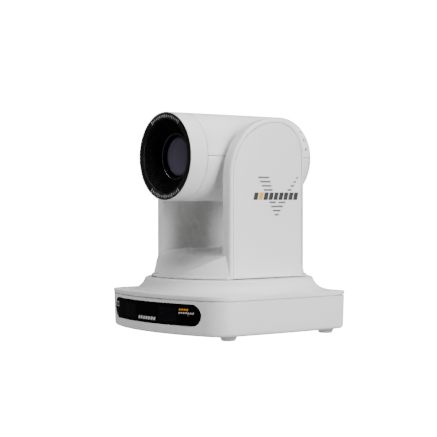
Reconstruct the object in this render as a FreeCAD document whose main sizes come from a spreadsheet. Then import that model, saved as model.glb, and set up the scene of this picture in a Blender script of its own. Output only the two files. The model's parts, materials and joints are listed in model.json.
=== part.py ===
import FreeCAD, Part
import math
import os
import re

import Sketcher

# Pan-tilt-zoom camera.  The front looks along -Y, +X is to the right of somebody facing the lens,
# +Z is up.  The origin is the mouth of the tripod socket on the underside, which is on the pan axis.

SIZES = [
    # base housing
    ("base_half_width", 75.4, "widest half width of the base"),
    ("base_front", 81.5, "pan axis to the middle of the bowed front"),
    ("base_rear", 61.5, "pan axis to the flat rear"),
    ("front_bow_radius", 165, "radius of the bowed front"),
    ("side_bow_radius", 800, "radius of the slightly bowed sides"),
    ("front_corner_radius", 21.6, ""),
    ("rear_corner_radius", 7, ""),
    ("side_taper", 2.3, "draft of the tub walls in degrees"),
    ("bottom_round", 3, "rounding under the tub"),
    ("shell_wall", 2.4, "wall of the plastic shells"),
    ("base_floor", 3.6, "thickness of the tub floor"),
    ("tub_top", 26.5, "upper edge of the tub"),
    ("seam_gap", 0.6, "shadow line between tub and cover"),
    ("deck_top", 30, "flat top of the cover"),
    ("neck_top", 40.4, "top of the raised neck"),
    ("flare_radius", 14, "hollow curve from the deck up to the neck"),
    ("flare_foot", 80.5, "distance from the pan axis where the curve leaves the deck"),
    ("lip_depth", 3, "locating lip of the cover inside the tub"),
    ("lip_wall", 1.2, ""),
    ("fit_gap", 0.15, "clearance round pieces that drop into place"),
    # front strip
    ("strip_half_width", 56, ""),
    ("strip_low", 7.7, ""),
    ("strip_high", 23.7, ""),
    ("strip_inset", 0.3, "strip lies this far behind the tub surface"),
    ("strip_thick", 2, ""),
    ("receiver_near", 15, "inner edge of each receiver window"),
    ("receiver_far", 34, "outer edge of each receiver window"),
    ("receiver_low", 10, ""),
    ("receiver_high", 21, ""),
    ("receiver_thick", 1, ""),
    ("light_place", 45, "status light, to the side of the middle"),
    ("light_radius", 0.9, ""),
    # underside
    ("foot_height", 3.8, ""),
    ("foot_top_radius", 7, ""),
    ("foot_bottom_radius", 5.2, ""),
    ("foot_side", 59.5, ""),
    ("foot_front", 48, ""),
    ("foot_rear", 50, ""),
    ("plate_half_width", 50, "steel bottom plate"),
    ("plate_half_depth", 38, ""),
    ("plate_thick", 2, ""),
    ("plate_ledge", 7, "ledge of the tub floor that the plate rests on"),
    ("plate_screw_inset", 3.5, ""),
    ("screw_radius", 1.5, ""),
    ("screw_head_radius", 2.7, ""),
    ("screw_hole_radius", 1.7, ""),
    ("bracket_half_x", 30, "ceiling bracket holes"),
    ("bracket_half_y", 22, ""),
    ("bracket_hole_radius", 2.1, ""),
    ("tripod_bore_radius", 3.175, "quarter inch camera thread"),
    ("tripod_insert_radius", 7, ""),
    ("tripod_depth", 8, ""),
    # electronics in the base
    ("board_half_width", 60, ""),
    ("board_front", 22, "front edge of the board, before the pan axis"),
    ("board_rear", 56, ""),
    ("board_low", 6.5, ""),
    ("board_thick", 1.6, ""),
    ("standoff_radius", 2.8, ""),
    ("panel_half_width", 61.5, "opening in the rear wall"),
    ("panel_low", 5.6, ""),
    ("panel_high", 21.9, ""),
    ("panel_overlap", 1.5, "connector plate behind the edge of the opening"),
    ("panel_thick", 1.5, ""),
    ("socket_deep", 13, "length of a socket body behind the connector plate"),
    ("socket_proud", 0.8, "sockets stand this far out of the plate"),
    # pan drive
    ("bearing_outer", 21, ""),
    ("pan_shaft_radius", 14.95, ""),
    ("running_gap", 0.05, ""),
    ("cable_bore", 9, "cable passage through the pan spindle"),
    ("pan_bearing_low", 34.4, ""),
    ("spindle_low", 25, ""),
    ("spindle_flange", 18, ""),
    ("pan_pulley_radius", 22, ""),
    ("pan_motor_pulley_radius", 6, ""),
    ("pulley_flange", 1, "height and extra radius of a pulley flange"),
    ("belt_gap", 0.3, ""),
    ("belt_thick", 1.2, ""),
    ("belt_wide", 3.4, ""),
    ("pan_pulley_low", 26.4, ""),
    ("pan_motor_reach", 46, "pan motor axis before the pan axis"),
    ("pan_motor_radius", 14, ""),
    ("pan_motor_low", 7, ""),
    ("pan_motor_high", 24.3, ""),
    ("motor_plate", 1.5, ""),
    ("motor_shaft_radius", 1.5, ""),
    # yoke
    ("yoke_bottom", 41, "underside of the turntable"),
    ("turntable_radius", 60.8, ""),
    ("turntable_flange", 62.3, ""),
    ("flange_height", 1.6, ""),
    ("turntable_top_radius", 56.3, ""),
    ("saddle_top", 61.5, "flat saddle under the head"),
    ("saddle_radius", 67, "curve of the saddle towards the front"),
    ("saddle_centre_back", 10.6, "saddle curve axis before the pan axis"),
    ("saddle_centre_low", 3, "saddle curve axis below the origin"),
    ("arm_inner", 38.6, "inner face of each arm"),
    ("arm_outer", 48, "outer face of each arm"),
    ("arm_front", 37.1, ""),
    ("arm_rear", 38.2, ""),
    ("arm_top", 164.6, ""),
    ("arm_front_radius", 45.8, ""),
    ("arm_rear_radius", 27.5, ""),
    ("arm_edge_round", 2.4, ""),
    ("arm_wall", 2.2, ""),
    ("cover_inset", 3, "side cover edge from the edge of the arm"),
    ("cover_groove", 0.3, "shadow line round the side cover"),
    ("cover_thick", 2, ""),
    ("cover_ledge", 2.4, ""),
    # tilt drive
    ("tilt_axis", 134.9, "height of the tilt axis"),
    ("tilt_shaft_radius", 4.95, ""),
    ("tilt_bearing_radius", 8, ""),
    ("tilt_bearing_wide", 3, ""),
    ("tilt_collar_radius", 9, ""),
    ("tilt_pulley_radius", 14, ""),
    ("tilt_motor_pulley_radius", 5, ""),
    ("tilt_pulley_wide", 3.2, ""),
    ("tilt_belt_wide", 1.6, ""),
    ("tilt_motor_back", 25, "tilt motor axis behind the pan axis"),
    ("tilt_motor_height", 51.5, ""),
    ("tilt_motor_radius", 7.2, ""),
    ("tilt_motor_length", 32, ""),
    ("body_gap", 0.4, "between pieces that pass each other"),
    # head
    ("head_radius", 34.5, ""),
    ("head_wall", 2.2, ""),
    ("head_front", 63.6, "tilt axis to the front edge"),
    ("bezel_length", 16.2, ""),
    ("head_barrel_rear", 51, "tilt axis to the start of the domed rear"),
    ("head_dome", 20, "depth of the domed rear"),
    ("bezel_rim", 0.8, "width of the white rim round the black ring"),
    ("ring_thick", 1.6, ""),
    ("face_ring_width", 5.1, "from the white rim in to the hood's mouth"),
    ("hood_throat_radius", 18.2, ""),
    ("hood_depth", 9, ""),
    ("hood_wall", 1, ""),
    ("bright_ring_inner", 16.6, ""),
    ("bright_ring_thick", 1.6, ""),
    ("front_glass_thick", 7, ""),
    ("front_glass_curve", 40, "radius of the front of the glass"),
    ("barrel_outer", 22, ""),
    ("barrel_wall", 2, ""),
    ("barrel_length", 46, ""),
    ("block_half_width", 23, ""),
    ("block_low", 14, "zoom block below the lens axis"),
    ("block_high", 18, ""),
    ("block_length", 26, ""),
    ("chassis_side", 25, ""),
    ("chassis_thick", 1.6, ""),
    ("chassis_front", 10, ""),
    ("chassis_rear", 40, ""),
    ("rod_side", 15, "guide rods from the lens axis"),
    ("rod_radius", 1, ""),
    ("group_radius", 12.5, ""),
    ("group_length", 6, ""),
    ("zoom_start", 34, "zoom group before the tilt axis, at rest"),
    ("focus_start", 12, "focus group before the tilt axis, at rest"),
    ("vent_hole_radius", 1.1, ""),
    ("switch_half", 4, "rotary format switch"),
    ("switch_place", -21, ""),
    ("switch_height", 6, "axis above the board"),
    ("rotor_radius", 3.2, ""),
    ("rotor_length", 8, ""),
    ("frame_thick", 1.6, "steel frame in the turntable"),
    ("frame_front", 28, ""),
    ("frame_rear", 16, ""),
    ("frame_tab_top", 56.5, ""),
    ("frame_screw_height", 52, ""),
]

SLOT_ROWS = 10
SLOT_PITCH = 3.2
SLOT_HIGH = 1.5
SLOT_TOP = 118.5
LABEL_ROWS = (4, 5)

doc = FreeCAD.newDocument("ptz_camera")
sheet = doc.addObject("Spreadsheet::Sheet", "Sizes")
for row, (alias, value, remark) in enumerate(SIZES, start=1):
    sheet.set(f"A{row}", alias)
    sheet.set(f"B{row}", str(value))
    sheet.setAlias(f"B{row}", alias)
    sheet.set(f"C{row}", remark)
doc.recompute()

ALIASES = {alias for alias, value, remark in SIZES}
PARTS = []
X, Y, Z = FreeCAD.Vector(1, 0, 0), FreeCAD.Vector(0, 1, 0), FreeCAD.Vector(0, 0, 1)
TURN = {"x": FreeCAD.Rotation(Z, X), "y": FreeCAD.Rotation(Z, Y), "z": FreeCAD.Rotation()}
ORIGIN, POINT_START, POINT_END, POINT_CENTRE = -1, 1, 2, 3


def cell(text):
    """Writes a formula on size names as an expression on the sheet's cells."""
    return re.sub(r"[a-z]\w+", lambda m: f"Sizes.{m[0]}" if m[0] in ALIASES else m[0], str(text))


def size(text):
    """The present value of a formula on size names."""
    values = {alias: float(sheet.get(alias)) for alias in ALIASES if alias in str(text)}
    numbers = re.sub(r"[a-z]\w+", lambda m: repr(values[m[0]]) if m[0] in values else m[0], str(text))
    meter = doc.getObject("Meter") or doc.addObject("App::FeaturePython", "Meter")
    if "Reading" not in meter.PropertiesList:
        meter.addProperty("App::PropertyFloat", "Reading")
    meter.setExpression("Reading", numbers)
    meter.recompute()
    return meter.Reading


def bind(obj, **formulas):
    for path, formula in formulas.items():
        obj.setExpression(path.replace("_at_", "."), cell(formula))
    return obj


def place(obj, x, y, z, axis="z"):
    obj.Placement = FreeCAD.Placement(FreeCAD.Vector(), TURN[axis])
    bind(obj, Placement_at_Base_at_x=x, Placement_at_Base_at_y=y, Placement_at_Base_at_z=z)
    return obj


def node(obj, label):
    """Names a finished sub-part and puts it on the list to be written."""
    obj.Label = label
    PARTS.append(obj)
    return obj


# Part primitives and booleans, bound to the sheet

def box(name, x0, x1, y0, y1, z0, z1):
    obj = doc.addObject("Part::Box", name)
    bind(obj, Length=f"({x1})-({x0})", Width=f"({y1})-({y0})", Height=f"({z1})-({z0})")
    return place(obj, x0, y0, z0)


def rod(name, radius, length, x="0", y="0", z="0", axis="z"):
    obj = doc.addObject("Part::Cylinder", name)
    bind(obj, Radius=radius, Height=length)
    return place(obj, x, y, z, axis)


def cone(name, low_radius, high_radius, height, x="0", y="0", z="0", axis="z"):
    obj = doc.addObject("Part::Cone", name)
    bind(obj, Radius1=low_radius, Radius2=high_radius, Height=height)
    return place(obj, x, y, z, axis)


def fuse(name, *shapes):
    obj = doc.addObject("Part::MultiFuse", name)
    obj.Shapes = shapes
    return obj


def common(name, *shapes):
    obj = doc.addObject("Part::MultiCommon", name)
    obj.Shapes = shapes
    return obj


def cut(name, base, *tools):
    obj = doc.addObject("Part::Cut", name)
    obj.Base = base
    obj.Tool = tools[0] if len(tools) == 1 else fuse(name + "_tools", *tools)
    return obj


def group(name, *shapes):
    obj = doc.addObject("Part::Compound", name)
    obj.Links = shapes
    return obj


def tube(name, outer, inner, length, x="0", y="0", z="0", axis="z"):
    """A ring; its bore is cut past both ends."""
    solid = rod(name + "_solid", outer, length, x, y, z, axis)
    start = {"x": x, "y": y, "z": z}
    start[axis] = f"({start[axis]})-1"
    bore = rod(name + "_bore", inner, f"({length})+2", start["x"], start["y"], start["z"], axis)
    return cut(name, solid, bore)


# PartDesign bodies with bound sketches

def new_body(name):
    return doc.addObject("PartDesign::Body", name)


def sketch_on(body, role, name, offset="0"):
    plane = [feature for feature in body.Origin.OriginFeatures if feature.Role == role][0]
    sketch = body.newObject("Sketcher::SketchObject", name)
    sketch.AttachmentSupport = [(plane, "")]
    sketch.MapMode = "FlatFace"
    sketch.setExpression("AttachmentOffset.Base.z", cell(offset))
    return sketch


def fix(sketch, kind, *args):
    """Adds a dimension whose last argument is a formula; the value starts at its present size."""
    *places, formula = args
    index = sketch.addConstraint(Sketcher.Constraint(kind, *places, size(formula)))
    sketch.setExpression(f"Constraints[{index}]", cell(formula))


def relate(sketch, kind, *places):
    sketch.addConstraint(Sketcher.Constraint(kind, *places))


def line(sketch, x0, y0, x1, y1):
    return sketch.addGeometry(Part.LineSegment(FreeCAD.Vector(x0, y0, 0), FreeCAD.Vector(x1, y1, 0)))


def arc(sketch, x, y, radius, start, end):
    circle = Part.Circle(FreeCAD.Vector(x, y, 0), Z, radius)
    return sketch.addGeometry(Part.ArcOfCircle(circle, start, end))


def circle(sketch, radius, x="0", y="0"):
    ring = sketch.addGeometry(Part.Circle(FreeCAD.Vector(size(x), size(y), 0), Z, size(radius)))
    fix(sketch, "Radius", ring, radius)
    for kind, place_of in (("DistanceX", x), ("DistanceY", y)):
        if size(place_of):
            fix(sketch, kind, ORIGIN, POINT_START, ring, POINT_CENTRE, place_of)
        else:
            relate(sketch, "PointOnObject", ring, POINT_CENTRE, -2 if kind == "DistanceX" else -1)


def polygon(sketch, corners):
    """Closed outline of straight edges; each corner is a pair of formulas."""
    points = [(size(x), size(y)) for x, y in corners]
    edges = [line(sketch, *here, *there) for here, there in zip(points, points[1:] + points[:1])]
    for here, there in zip(edges, edges[1:] + edges[:1]):
        relate(sketch, "Coincident", here, POINT_END, there, POINT_START)
    for edge, point, (x, y) in zip(edges, points, corners):
        if point[0]:
            fix(sketch, "DistanceX", ORIGIN, POINT_START, edge, POINT_START, x)
        else:
            relate(sketch, "PointOnObject", edge, POINT_START, -2)
        if point[1]:
            fix(sketch, "DistanceY", ORIGIN, POINT_START, edge, POINT_START, y)
        else:
            relate(sketch, "PointOnObject", edge, POINT_START, -1)


def pad(body, sketch, length, downwards=False, taper=None):
    feature = body.newObject("PartDesign::Pad", sketch.Name + "_pad")
    feature.Profile = sketch
    feature.Reversed = downwards
    feature.setExpression("Length", cell(length))
    if taper:
        feature.setExpression("TaperAngle", cell(taper))
    doc.recompute()
    return feature


def pocket(body, sketch, length, upwards=False):
    before = body.Shape.Volume
    feature = body.newObject("PartDesign::Pocket", sketch.Name + "_pocket")
    feature.Profile = sketch
    feature.Reversed = upwards
    feature.setExpression("Length", cell(length))
    doc.recompute()
    if body.Shape.Volume > before - 1e-6:
        raise RuntimeError(f"{sketch.Name} cuts nothing")
    return feature


def revolve(body, sketch, axis="V_Axis"):
    feature = body.newObject("PartDesign::Revolution", sketch.Name + "_turned")
    feature.Profile = sketch
    feature.ReferenceAxis = (sketch, [axis])
    feature.Angle = 360
    doc.recompute()
    return feature


def round_edges(body, name, radius, chosen):
    """Rounds the edges of the body for which chosen(edge) is true."""
    doc.recompute()
    tip = body.Tip
    edges = [f"Edge{number}" for number, edge in enumerate(tip.Shape.Edges, start=1) if chosen(edge)]
    feature = body.newObject("PartDesign::Fillet", name)
    feature.Base = (tip, edges)
    feature.setExpression("Radius", cell(radius))
    doc.recompute()
    return feature


def ends_at(edge, coordinate, value):
    return all(abs(getattr(v.Point, coordinate) - value) < 1e-4 for v in edge.Vertexes)


# Base housing

def base_plan(sketch, inset):
    """Bowed front, slightly bowed sides and flat rear, all moved in by the inset."""
    bow = size(f"front_bow_radius - ({inset})")
    side = size(f"side_bow_radius - ({inset})")
    rear = size(f"base_rear - ({inset})")
    bow_centre = size("front_bow_radius - base_front")
    side_centre = size("side_bow_radius - base_half_width")
    half = size(f"base_half_width - ({inset})") - 1.5
    front_y = bow_centre - math.sqrt(bow ** 2 - half ** 2)
    bow_angle = math.atan2(front_y - bow_centre, half)
    front_angle = math.atan2(front_y, half + side_centre)
    rear_angle = math.atan2(rear, half + side_centre)
    front = arc(sketch, 0, bow_centre, bow, -math.pi - bow_angle, bow_angle)
    right = arc(sketch, -side_centre, 0, side, front_angle, rear_angle)
    back = line(sketch, half, rear, -half, rear)
    left = arc(sketch, side_centre, 0, side, math.pi - rear_angle, math.pi - front_angle)
    for here, there in ((front, right), (right, back), (back, left), (left, front)):
        relate(sketch, "Coincident", here, POINT_END, there, POINT_START)
    fix(sketch, "Radius", front, f"front_bow_radius - ({inset})")
    fix(sketch, "Radius", right, f"side_bow_radius - ({inset})")
    fix(sketch, "Radius", left, f"side_bow_radius - ({inset})")
    relate(sketch, "PointOnObject", front, POINT_CENTRE, -2)
    fix(sketch, "DistanceY", ORIGIN, POINT_START, front, POINT_CENTRE, "front_bow_radius - base_front")
    for side_arc, sign in ((right, "-"), (left, "")):
        relate(sketch, "PointOnObject", side_arc, POINT_CENTRE, -1)
        fix(sketch, "DistanceX", ORIGIN, POINT_START, side_arc, POINT_CENTRE,
            f"{sign}(side_bow_radius - base_half_width)")
    relate(sketch, "Horizontal", back)
    fix(sketch, "DistanceY", ORIGIN, POINT_START, back, POINT_START, f"base_rear - ({inset})")


def plan_block(name, inset, low, high, taper=None, bottom_round=None):
    """A block with the outline of the base, padded down from its upper face."""
    body = new_body(name)
    outline = sketch_on(body, "XY_Plane", name + "_plan", high)
    base_plan(outline, inset)
    pad(body, outline, f"({high})-({low})", downwards=True, taper=taper)
    low_z, high_z = size(low), size(high)

    def upright(edge, front):
        heights = [v.Point.z for v in edge.Vertexes]
        rises = max(heights) - min(heights) > 0.5 * (high_z - low_z)
        return rises and (edge.CenterOfMass.y < 0) == front

    for word, front in (("front", True), ("rear", False)):
        round_edges(body, f"{name}_{word}_corners", f"{word}_corner_radius - ({inset})",
                    lambda edge: upright(edge, front))
    if bottom_round:
        round_edges(body, name + "_bottom_round", bottom_round, lambda edge: ends_at(edge, "z", low_z))
    return body


def stadium(name, half_width, low, high, y0, y1):
    """A bar with round ends, lying along Y."""
    end_radius = f"(({high})-({low}))/2"
    middle = box(name + "_middle", f"-({half_width})+{end_radius}", f"({half_width})-{end_radius}",
                 y0, y1, low, high)
    ends = [rod(f"{name}_end_{word}", end_radius, f"({y1})-({y0})", f"{sign}(({half_width})-{end_radius})",
                y0, f"(({high})+({low}))/2", "y") for word, sign in (("right", ""), ("left", "-"))]
    return fuse(name, middle, *ends)


def base_tub():
    outer = plan_block("tub_outer", "0", "0", "tub_top", "-side_taper", "bottom_round")
    inner = plan_block("tub_inner", "shell_wall", "base_floor", "tub_top + 0.01", "-side_taper")
    window = stadium("strip_hole", "strip_half_width + fit_gap", "strip_low - fit_gap",
                     "strip_high + fit_gap", "-base_front - 5", "-base_front + 22")
    rear = box("panel_hole", "-panel_half_width", "panel_half_width", "base_rear - shell_wall - 3",
               "base_rear + 5", "panel_low", "panel_high")
    seat = box("plate_seat", "-plate_half_width - fit_gap", "plate_half_width + fit_gap",
               "-plate_half_depth - fit_gap", "plate_half_depth + fit_gap", "-1", "plate_thick")
    opening = box("plate_opening", "-plate_half_width + plate_ledge", "plate_half_width - plate_ledge",
                  "-plate_half_depth + plate_ledge", "plate_half_depth - plate_ledge", "-1", "base_floor + 1")
    holes = plate_screw_rods("plate_screw_hole", "screw_radius", "plate_thick - 1", "base_floor + 1")
    return node(cut("tub", outer, inner, window, rear, seat, opening, *holes), "base_tub")


def flare(name, down):
    """The space under the deck and the raised neck, lowered and drawn in by the wall."""
    body = new_body(name)
    sketch = sketch_on(body, "XZ_Plane", name + "_profile")
    low, reach = "tub_top - lip_depth - 1", "flare_foot + 60"
    deck, neck, radius = f"deck_top - ({down})", f"neck_top - ({down})", f"flare_radius + ({down})"
    foot_x, deck_z, neck_z = size("flare_foot"), size(deck), size(neck)
    curve_z, curve_r = size("deck_top + flare_radius"), size(radius)
    neck_x = foot_x - math.sqrt(curve_r ** 2 - (curve_z - neck_z) ** 2)
    neck_angle = math.atan2(neck_z - curve_z, neck_x - foot_x) + 2 * math.pi
    floor = line(sketch, 0, size(low), size(reach), size(low))
    side = line(sketch, size(reach), size(low), size(reach), deck_z)
    top = line(sketch, size(reach), deck_z, foot_x, deck_z)
    curve = arc(sketch, foot_x, curve_z, curve_r, neck_angle, 1.5 * math.pi)
    cap = line(sketch, neck_x, neck_z, 0, neck_z)
    axis = line(sketch, 0, neck_z, 0, size(low))
    relate(sketch, "Coincident", floor, POINT_END, side, POINT_START)
    relate(sketch, "Coincident", side, POINT_END, top, POINT_START)
    relate(sketch, "Tangent", top, POINT_END, curve, POINT_END)
    relate(sketch, "Coincident", curve, POINT_START, cap, POINT_START)
    relate(sketch, "Coincident", cap, POINT_END, axis, POINT_START)
    relate(sketch, "Coincident", axis, POINT_END, floor, POINT_START)
    for edge in (floor, top, cap):
        relate(sketch, "Horizontal", edge)
    relate(sketch, "Vertical", side)
    relate(sketch, "PointOnObject", axis, POINT_START, -2)
    relate(sketch, "PointOnObject", axis, POINT_END, -2)
    fix(sketch, "Radius", curve, radius)
    fix(sketch, "DistanceX", ORIGIN, POINT_START, top, POINT_END, "flare_foot")
    fix(sketch, "DistanceX", ORIGIN, POINT_START, side, POINT_START, reach)
    fix(sketch, "DistanceY", ORIGIN, POINT_START, floor, POINT_START, low)
    fix(sketch, "DistanceY", ORIGIN, POINT_START, top, POINT_START, deck)
    fix(sketch, "DistanceY", ORIGIN, POINT_START, cap, POINT_START, neck)
    revolve(body, sketch)
    return body


def base_top_cover():
    rim = plan_block("cover_rim", "0", "tub_top + seam_gap", "neck_top + 5")
    hollow = plan_block("cover_hollow", "shell_wall + 2*fit_gap + lip_wall", "tub_top - lip_depth - 1",
                        "neck_top + 5")
    lip = plan_block("cover_lip", "shell_wall + 2*fit_gap", "tub_top - lip_depth", "tub_top + seam_gap")
    outside = common("cover_outside", fuse("cover_solid", rim, lip), flare("cover_flare", "0"))
    inside = common("cover_inside", hollow, flare("cover_under_flare", "shell_wall"))
    boss = rod("bearing_boss", "bearing_outer + shell_wall", "neck_top - pan_bearing_low - 0.5",
               z="pan_bearing_low")
    bore = rod("cover_bore", "bearing_outer", "20", z="neck_top - 12")
    return node(cut("cover", fuse("cover_with_boss", cut("cover_shell", outside, inside), boss), bore),
                "base_top_cover")


def front_strip():
    face = plan_block("strip_face", "strip_inset", "0", "tub_top", "-side_taper")
    back = plan_block("strip_back", "strip_inset + strip_thick", "-1", "tub_top + 1", "-side_taper")
    outline = stadium("strip_outline", "strip_half_width", "strip_low", "strip_high",
                      "-base_front - 5", "-base_front + 22")
    receivers = []
    pockets = []
    for word, near, far in (("right", "receiver_near", "receiver_far"),
                            ("left", "-receiver_far", "-receiver_near")):
        receivers.append(box(f"receiver_{word}", near, far, "-base_front - 5", "-base_front + 12",
                             "receiver_low", "receiver_high"))
        pockets.append(box(f"receiver_pocket_{word}", f"{near} - fit_gap", f"{far} + fit_gap",
                           "-base_front - 5", "-base_front + 12", "receiver_low - fit_gap",
                           "receiver_high + fit_gap"))
    receiver_back = plan_block("receiver_back", "strip_inset + receiver_thick", "-1", "tub_top + 1",
                               "-side_taper")
    light_hole = rod("light_hole", "light_radius + fit_gap", "30", "light_place", "-base_front - 5",
                     "(strip_low + strip_high)/2", "y")
    shallow = cut("receiver_recess", fuse("receiver_pockets", *pockets), receiver_back)
    strip = cut("strip", common("strip_slab", cut("strip_skin", face, back), outline), shallow, light_hole)
    node(strip, "front_window_strip")
    windows = common("receiver_slabs", cut("receiver_skin", face, receiver_back),
                     fuse("receiver_blocks", *receivers))
    node(windows, "ir_receiver_windows")
    light = rod("light_pipe", "light_radius", "30", "light_place", "-base_front - 5",
                "(strip_low + strip_high)/2", "y")
    node(common("light", cut("light_skin", face, back), light), "status_light")


def at_corners(maker, name, x, y_front, y_rear):
    """One piece near each corner: maker(name, x formula, y formula)."""
    pieces = []
    for side, sign in (("right", ""), ("left", "-")):
        for end, y in (("front", f"-({y_front})"), ("rear", y_rear)):
            pieces.append(maker(f"{name}_{side}_{end}", f"{sign}({x})", y))
    return pieces


def rubber_feet():
    def foot(name, x, y):
        return cone(name, "foot_bottom_radius", "foot_top_radius", "foot_height", x, y, "-foot_height")
    feet = at_corners(foot, "foot", "foot_side", "foot_front", "foot_rear")
    node(group("feet", *feet), "rubber_feet")


def plate_screw_rods(name, radius, low, high):
    reach_x, reach_y = "plate_half_width - plate_screw_inset", "plate_half_depth - plate_screw_inset"
    return at_corners(lambda piece, x, y: rod(piece, radius, f"({high})-({low})", x, y, low),
                      name, reach_x, reach_y, reach_y)


def underside():
    slab = box("plate_slab", "-plate_half_width", "plate_half_width", "-plate_half_depth",
               "plate_half_depth", "0", "plate_thick")
    insert_hole = rod("plate_insert_hole", "tripod_insert_radius", "10", z="-1")
    bracket = at_corners(lambda name, x, y: rod(name, "bracket_hole_radius", "10", x, y, "-1"),
                         "bracket_hole", "bracket_half_x", "bracket_half_y", "bracket_half_y")
    shanks = plate_screw_rods("plate_shank_hole", "screw_hole_radius", "-1", "plate_thick + 1")
    sinks = plate_screw_rods("plate_sink", "screw_head_radius + fit_gap", "-1", "plate_thick/2")
    node(cut("plate", slab, insert_hole, *bracket, *shanks, *sinks), "bottom_plate")
    shafts = plate_screw_rods("plate_screw_shank", "screw_radius", "0.2", "base_floor")
    heads = plate_screw_rods("plate_screw_head", "screw_head_radius", "0.2", "plate_thick/2")
    screws = [fuse(f"plate_screw_{n}", shaft, head) for n, (shaft, head) in enumerate(zip(shafts, heads))]
    node(group("plate_screw_set", *screws), "bottom_plate_screws")
    node(tube("tripod", "tripod_insert_radius", "tripod_bore_radius", "tripod_depth"), "tripod_insert")


# Electronics in the base

def main_board():
    body = new_body("board")
    outline = sketch_on(body, "XY_Plane", "board_outline", "board_low")
    polygon(outline, [("-board_half_width", "-board_front"), ("board_half_width", "-board_front"),
                      ("board_half_width", "board_rear"), ("-board_half_width", "board_rear")])
    pad(body, outline, "board_thick")
    holes = sketch_on(body, "XY_Plane", "board_holes", "board_low + board_thick")
    for sign in ("", "-"):
        for y in ("-board_front + 4", "board_rear - 16"):
            circle(holes, "screw_hole_radius", f"{sign}(board_half_width - 4)", y)
    circle(holes, "tripod_insert_radius + 2")
    pocket(body, holes, "board_thick + 1")
    node(body, "main_board")
    posts = at_corners(lambda name, x, y: tube(name, "standoff_radius", "screw_radius",
                                               "board_low - base_floor", x, y, "base_floor"),
                       "standoff", "board_half_width - 4", "board_front - 4", "board_rear - 16")
    node(group("standoffs", *posts), "board_standoffs")


# name, place along X, half width, height, mouth width, mouth height, mouth depth
BOX_SOCKETS = [
    ("lan_socket", 39, 8, 12.6, 11.8, 7.6, 10),
    ("usb_socket", 22, 6, 10.6, 8.6, 7.8, 9),
    ("hdmi_socket", 5, 7.6, 7.4, 14, 4.6, 9),
]
# name, place along X, height of the axis above the board, outer radius, bore radius, reach out of the plate
ROUND_SOCKETS = [
    ("dc_jack", 55, 6, 4.2, 2.8, 0.8),
    ("sdi_socket", -9.5, 6.2, 4.85, 4, 8),
    ("serial_in_socket", -33, 6.4, 5.9, 4.6, 0.8),
    ("serial_out_socket", -46, 6.4, 5.9, 4.6, 0.8),
    ("audio_jack", -56.5, 5, 3.2, 1.8, 0.8),
]
ROUND_DEPTH = 8
PLATE_BACK = "base_rear - shell_wall - panel_thick - 1"
PLATE_FACE = "base_rear - shell_wall - 1"
BOARD_TOP = "board_low + board_thick"


def sockets():
    plate_holes = []
    for name, x, half, high, mouth_wide, mouth_high, mouth_deep in BOX_SOCKETS:
        front = f"{PLATE_FACE} + socket_proud"
        shell = box(name + "_shell", f"{x - half}", f"{x + half}", f"{PLATE_BACK} - socket_deep", front,
                    BOARD_TOP, f"{BOARD_TOP} + {high}")
        low = f"{BOARD_TOP} + {(high - mouth_high) / 2}"
        mouth = box(name + "_mouth", f"{x - mouth_wide / 2}", f"{x + mouth_wide / 2}",
                    f"{front} - {mouth_deep}", f"{front} + 1", low, f"{low} + {mouth_high}")
        node(cut(name, shell, mouth), name)
        plate_holes.append(box(name + "_plate_hole", f"{x - half} - fit_gap", f"{x + half} + fit_gap",
                               f"{PLATE_BACK} - 1", f"{PLATE_FACE} + 1", f"{BOARD_TOP} - fit_gap",
                               f"{BOARD_TOP} + {high} + fit_gap"))
    for name, x, height, outer, bore, reach in ROUND_SOCKETS:
        z = f"{BOARD_TOP} + {height}"
        front = f"{PLATE_FACE} + {reach}"
        sleeve = rod(name + "_sleeve", outer, f"({front}) - ({PLATE_BACK}) + 1", x, f"{PLATE_BACK} - 1", z,
                     "y")
        block = box(name + "_block", f"{x - outer}", f"{x + outer}", f"{PLATE_BACK} - socket_deep",
                    f"{PLATE_BACK} - fit_gap", BOARD_TOP, f"{z} + {outer}")
        bore_rod = rod(name + "_bore", bore, f"{ROUND_DEPTH + 1}", x, f"{front} - {ROUND_DEPTH}", z, "y")
        node(cut(name, fuse(name + "_body", sleeve, block), bore_rod), name)
        plate_holes.append(rod(name + "_plate_hole", f"{outer} + fit_gap", "panel_thick + 2", x,
                               f"{PLATE_BACK} - 1", z, "y"))
    plate_holes.append(rod("rotor_plate_hole", "rotor_radius + body_gap", "panel_thick + 2", "switch_place",
                           f"{PLATE_BACK} - 1", f"{BOARD_TOP} + switch_height", "y"))
    plate = box("panel_slab", "-panel_half_width - panel_overlap", "panel_half_width + panel_overlap",
                PLATE_BACK, PLATE_FACE, "panel_low - panel_overlap", "panel_high + panel_overlap")
    node(cut("panel", plate, *plate_holes), "connector_plate")


def rotary_switch():
    z = f"{BOARD_TOP} + switch_height"
    block = box("switch_block", "switch_place - switch_half", "switch_place + switch_half",
                f"{PLATE_BACK} - rotor_length", f"{PLATE_BACK} - fit_gap", BOARD_TOP, f"{z} + switch_half")
    well = rod("switch_well", "rotor_radius + running_gap", "rotor_length", "switch_place",
               f"{PLATE_BACK} - rotor_length + 1.5", z, "y")
    node(cut("switch", block, well), "rotary_switch_body")
    rotor = rod("rotor", "rotor_radius", "rotor_length", "switch_place",
                f"{PLATE_BACK} - rotor_length + 2", z, "y")
    slot = box("rotor_slot", "switch_place - 0.4", "switch_place + 0.4", f"{PLATE_BACK} + 1.2",
               f"{PLATE_BACK} + 4", f"{z} - 2.2", f"{z} + 2.2")
    node(cut("slotted_rotor", rotor, slot), "rotary_switch_rotor")


# Belt drives

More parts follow.
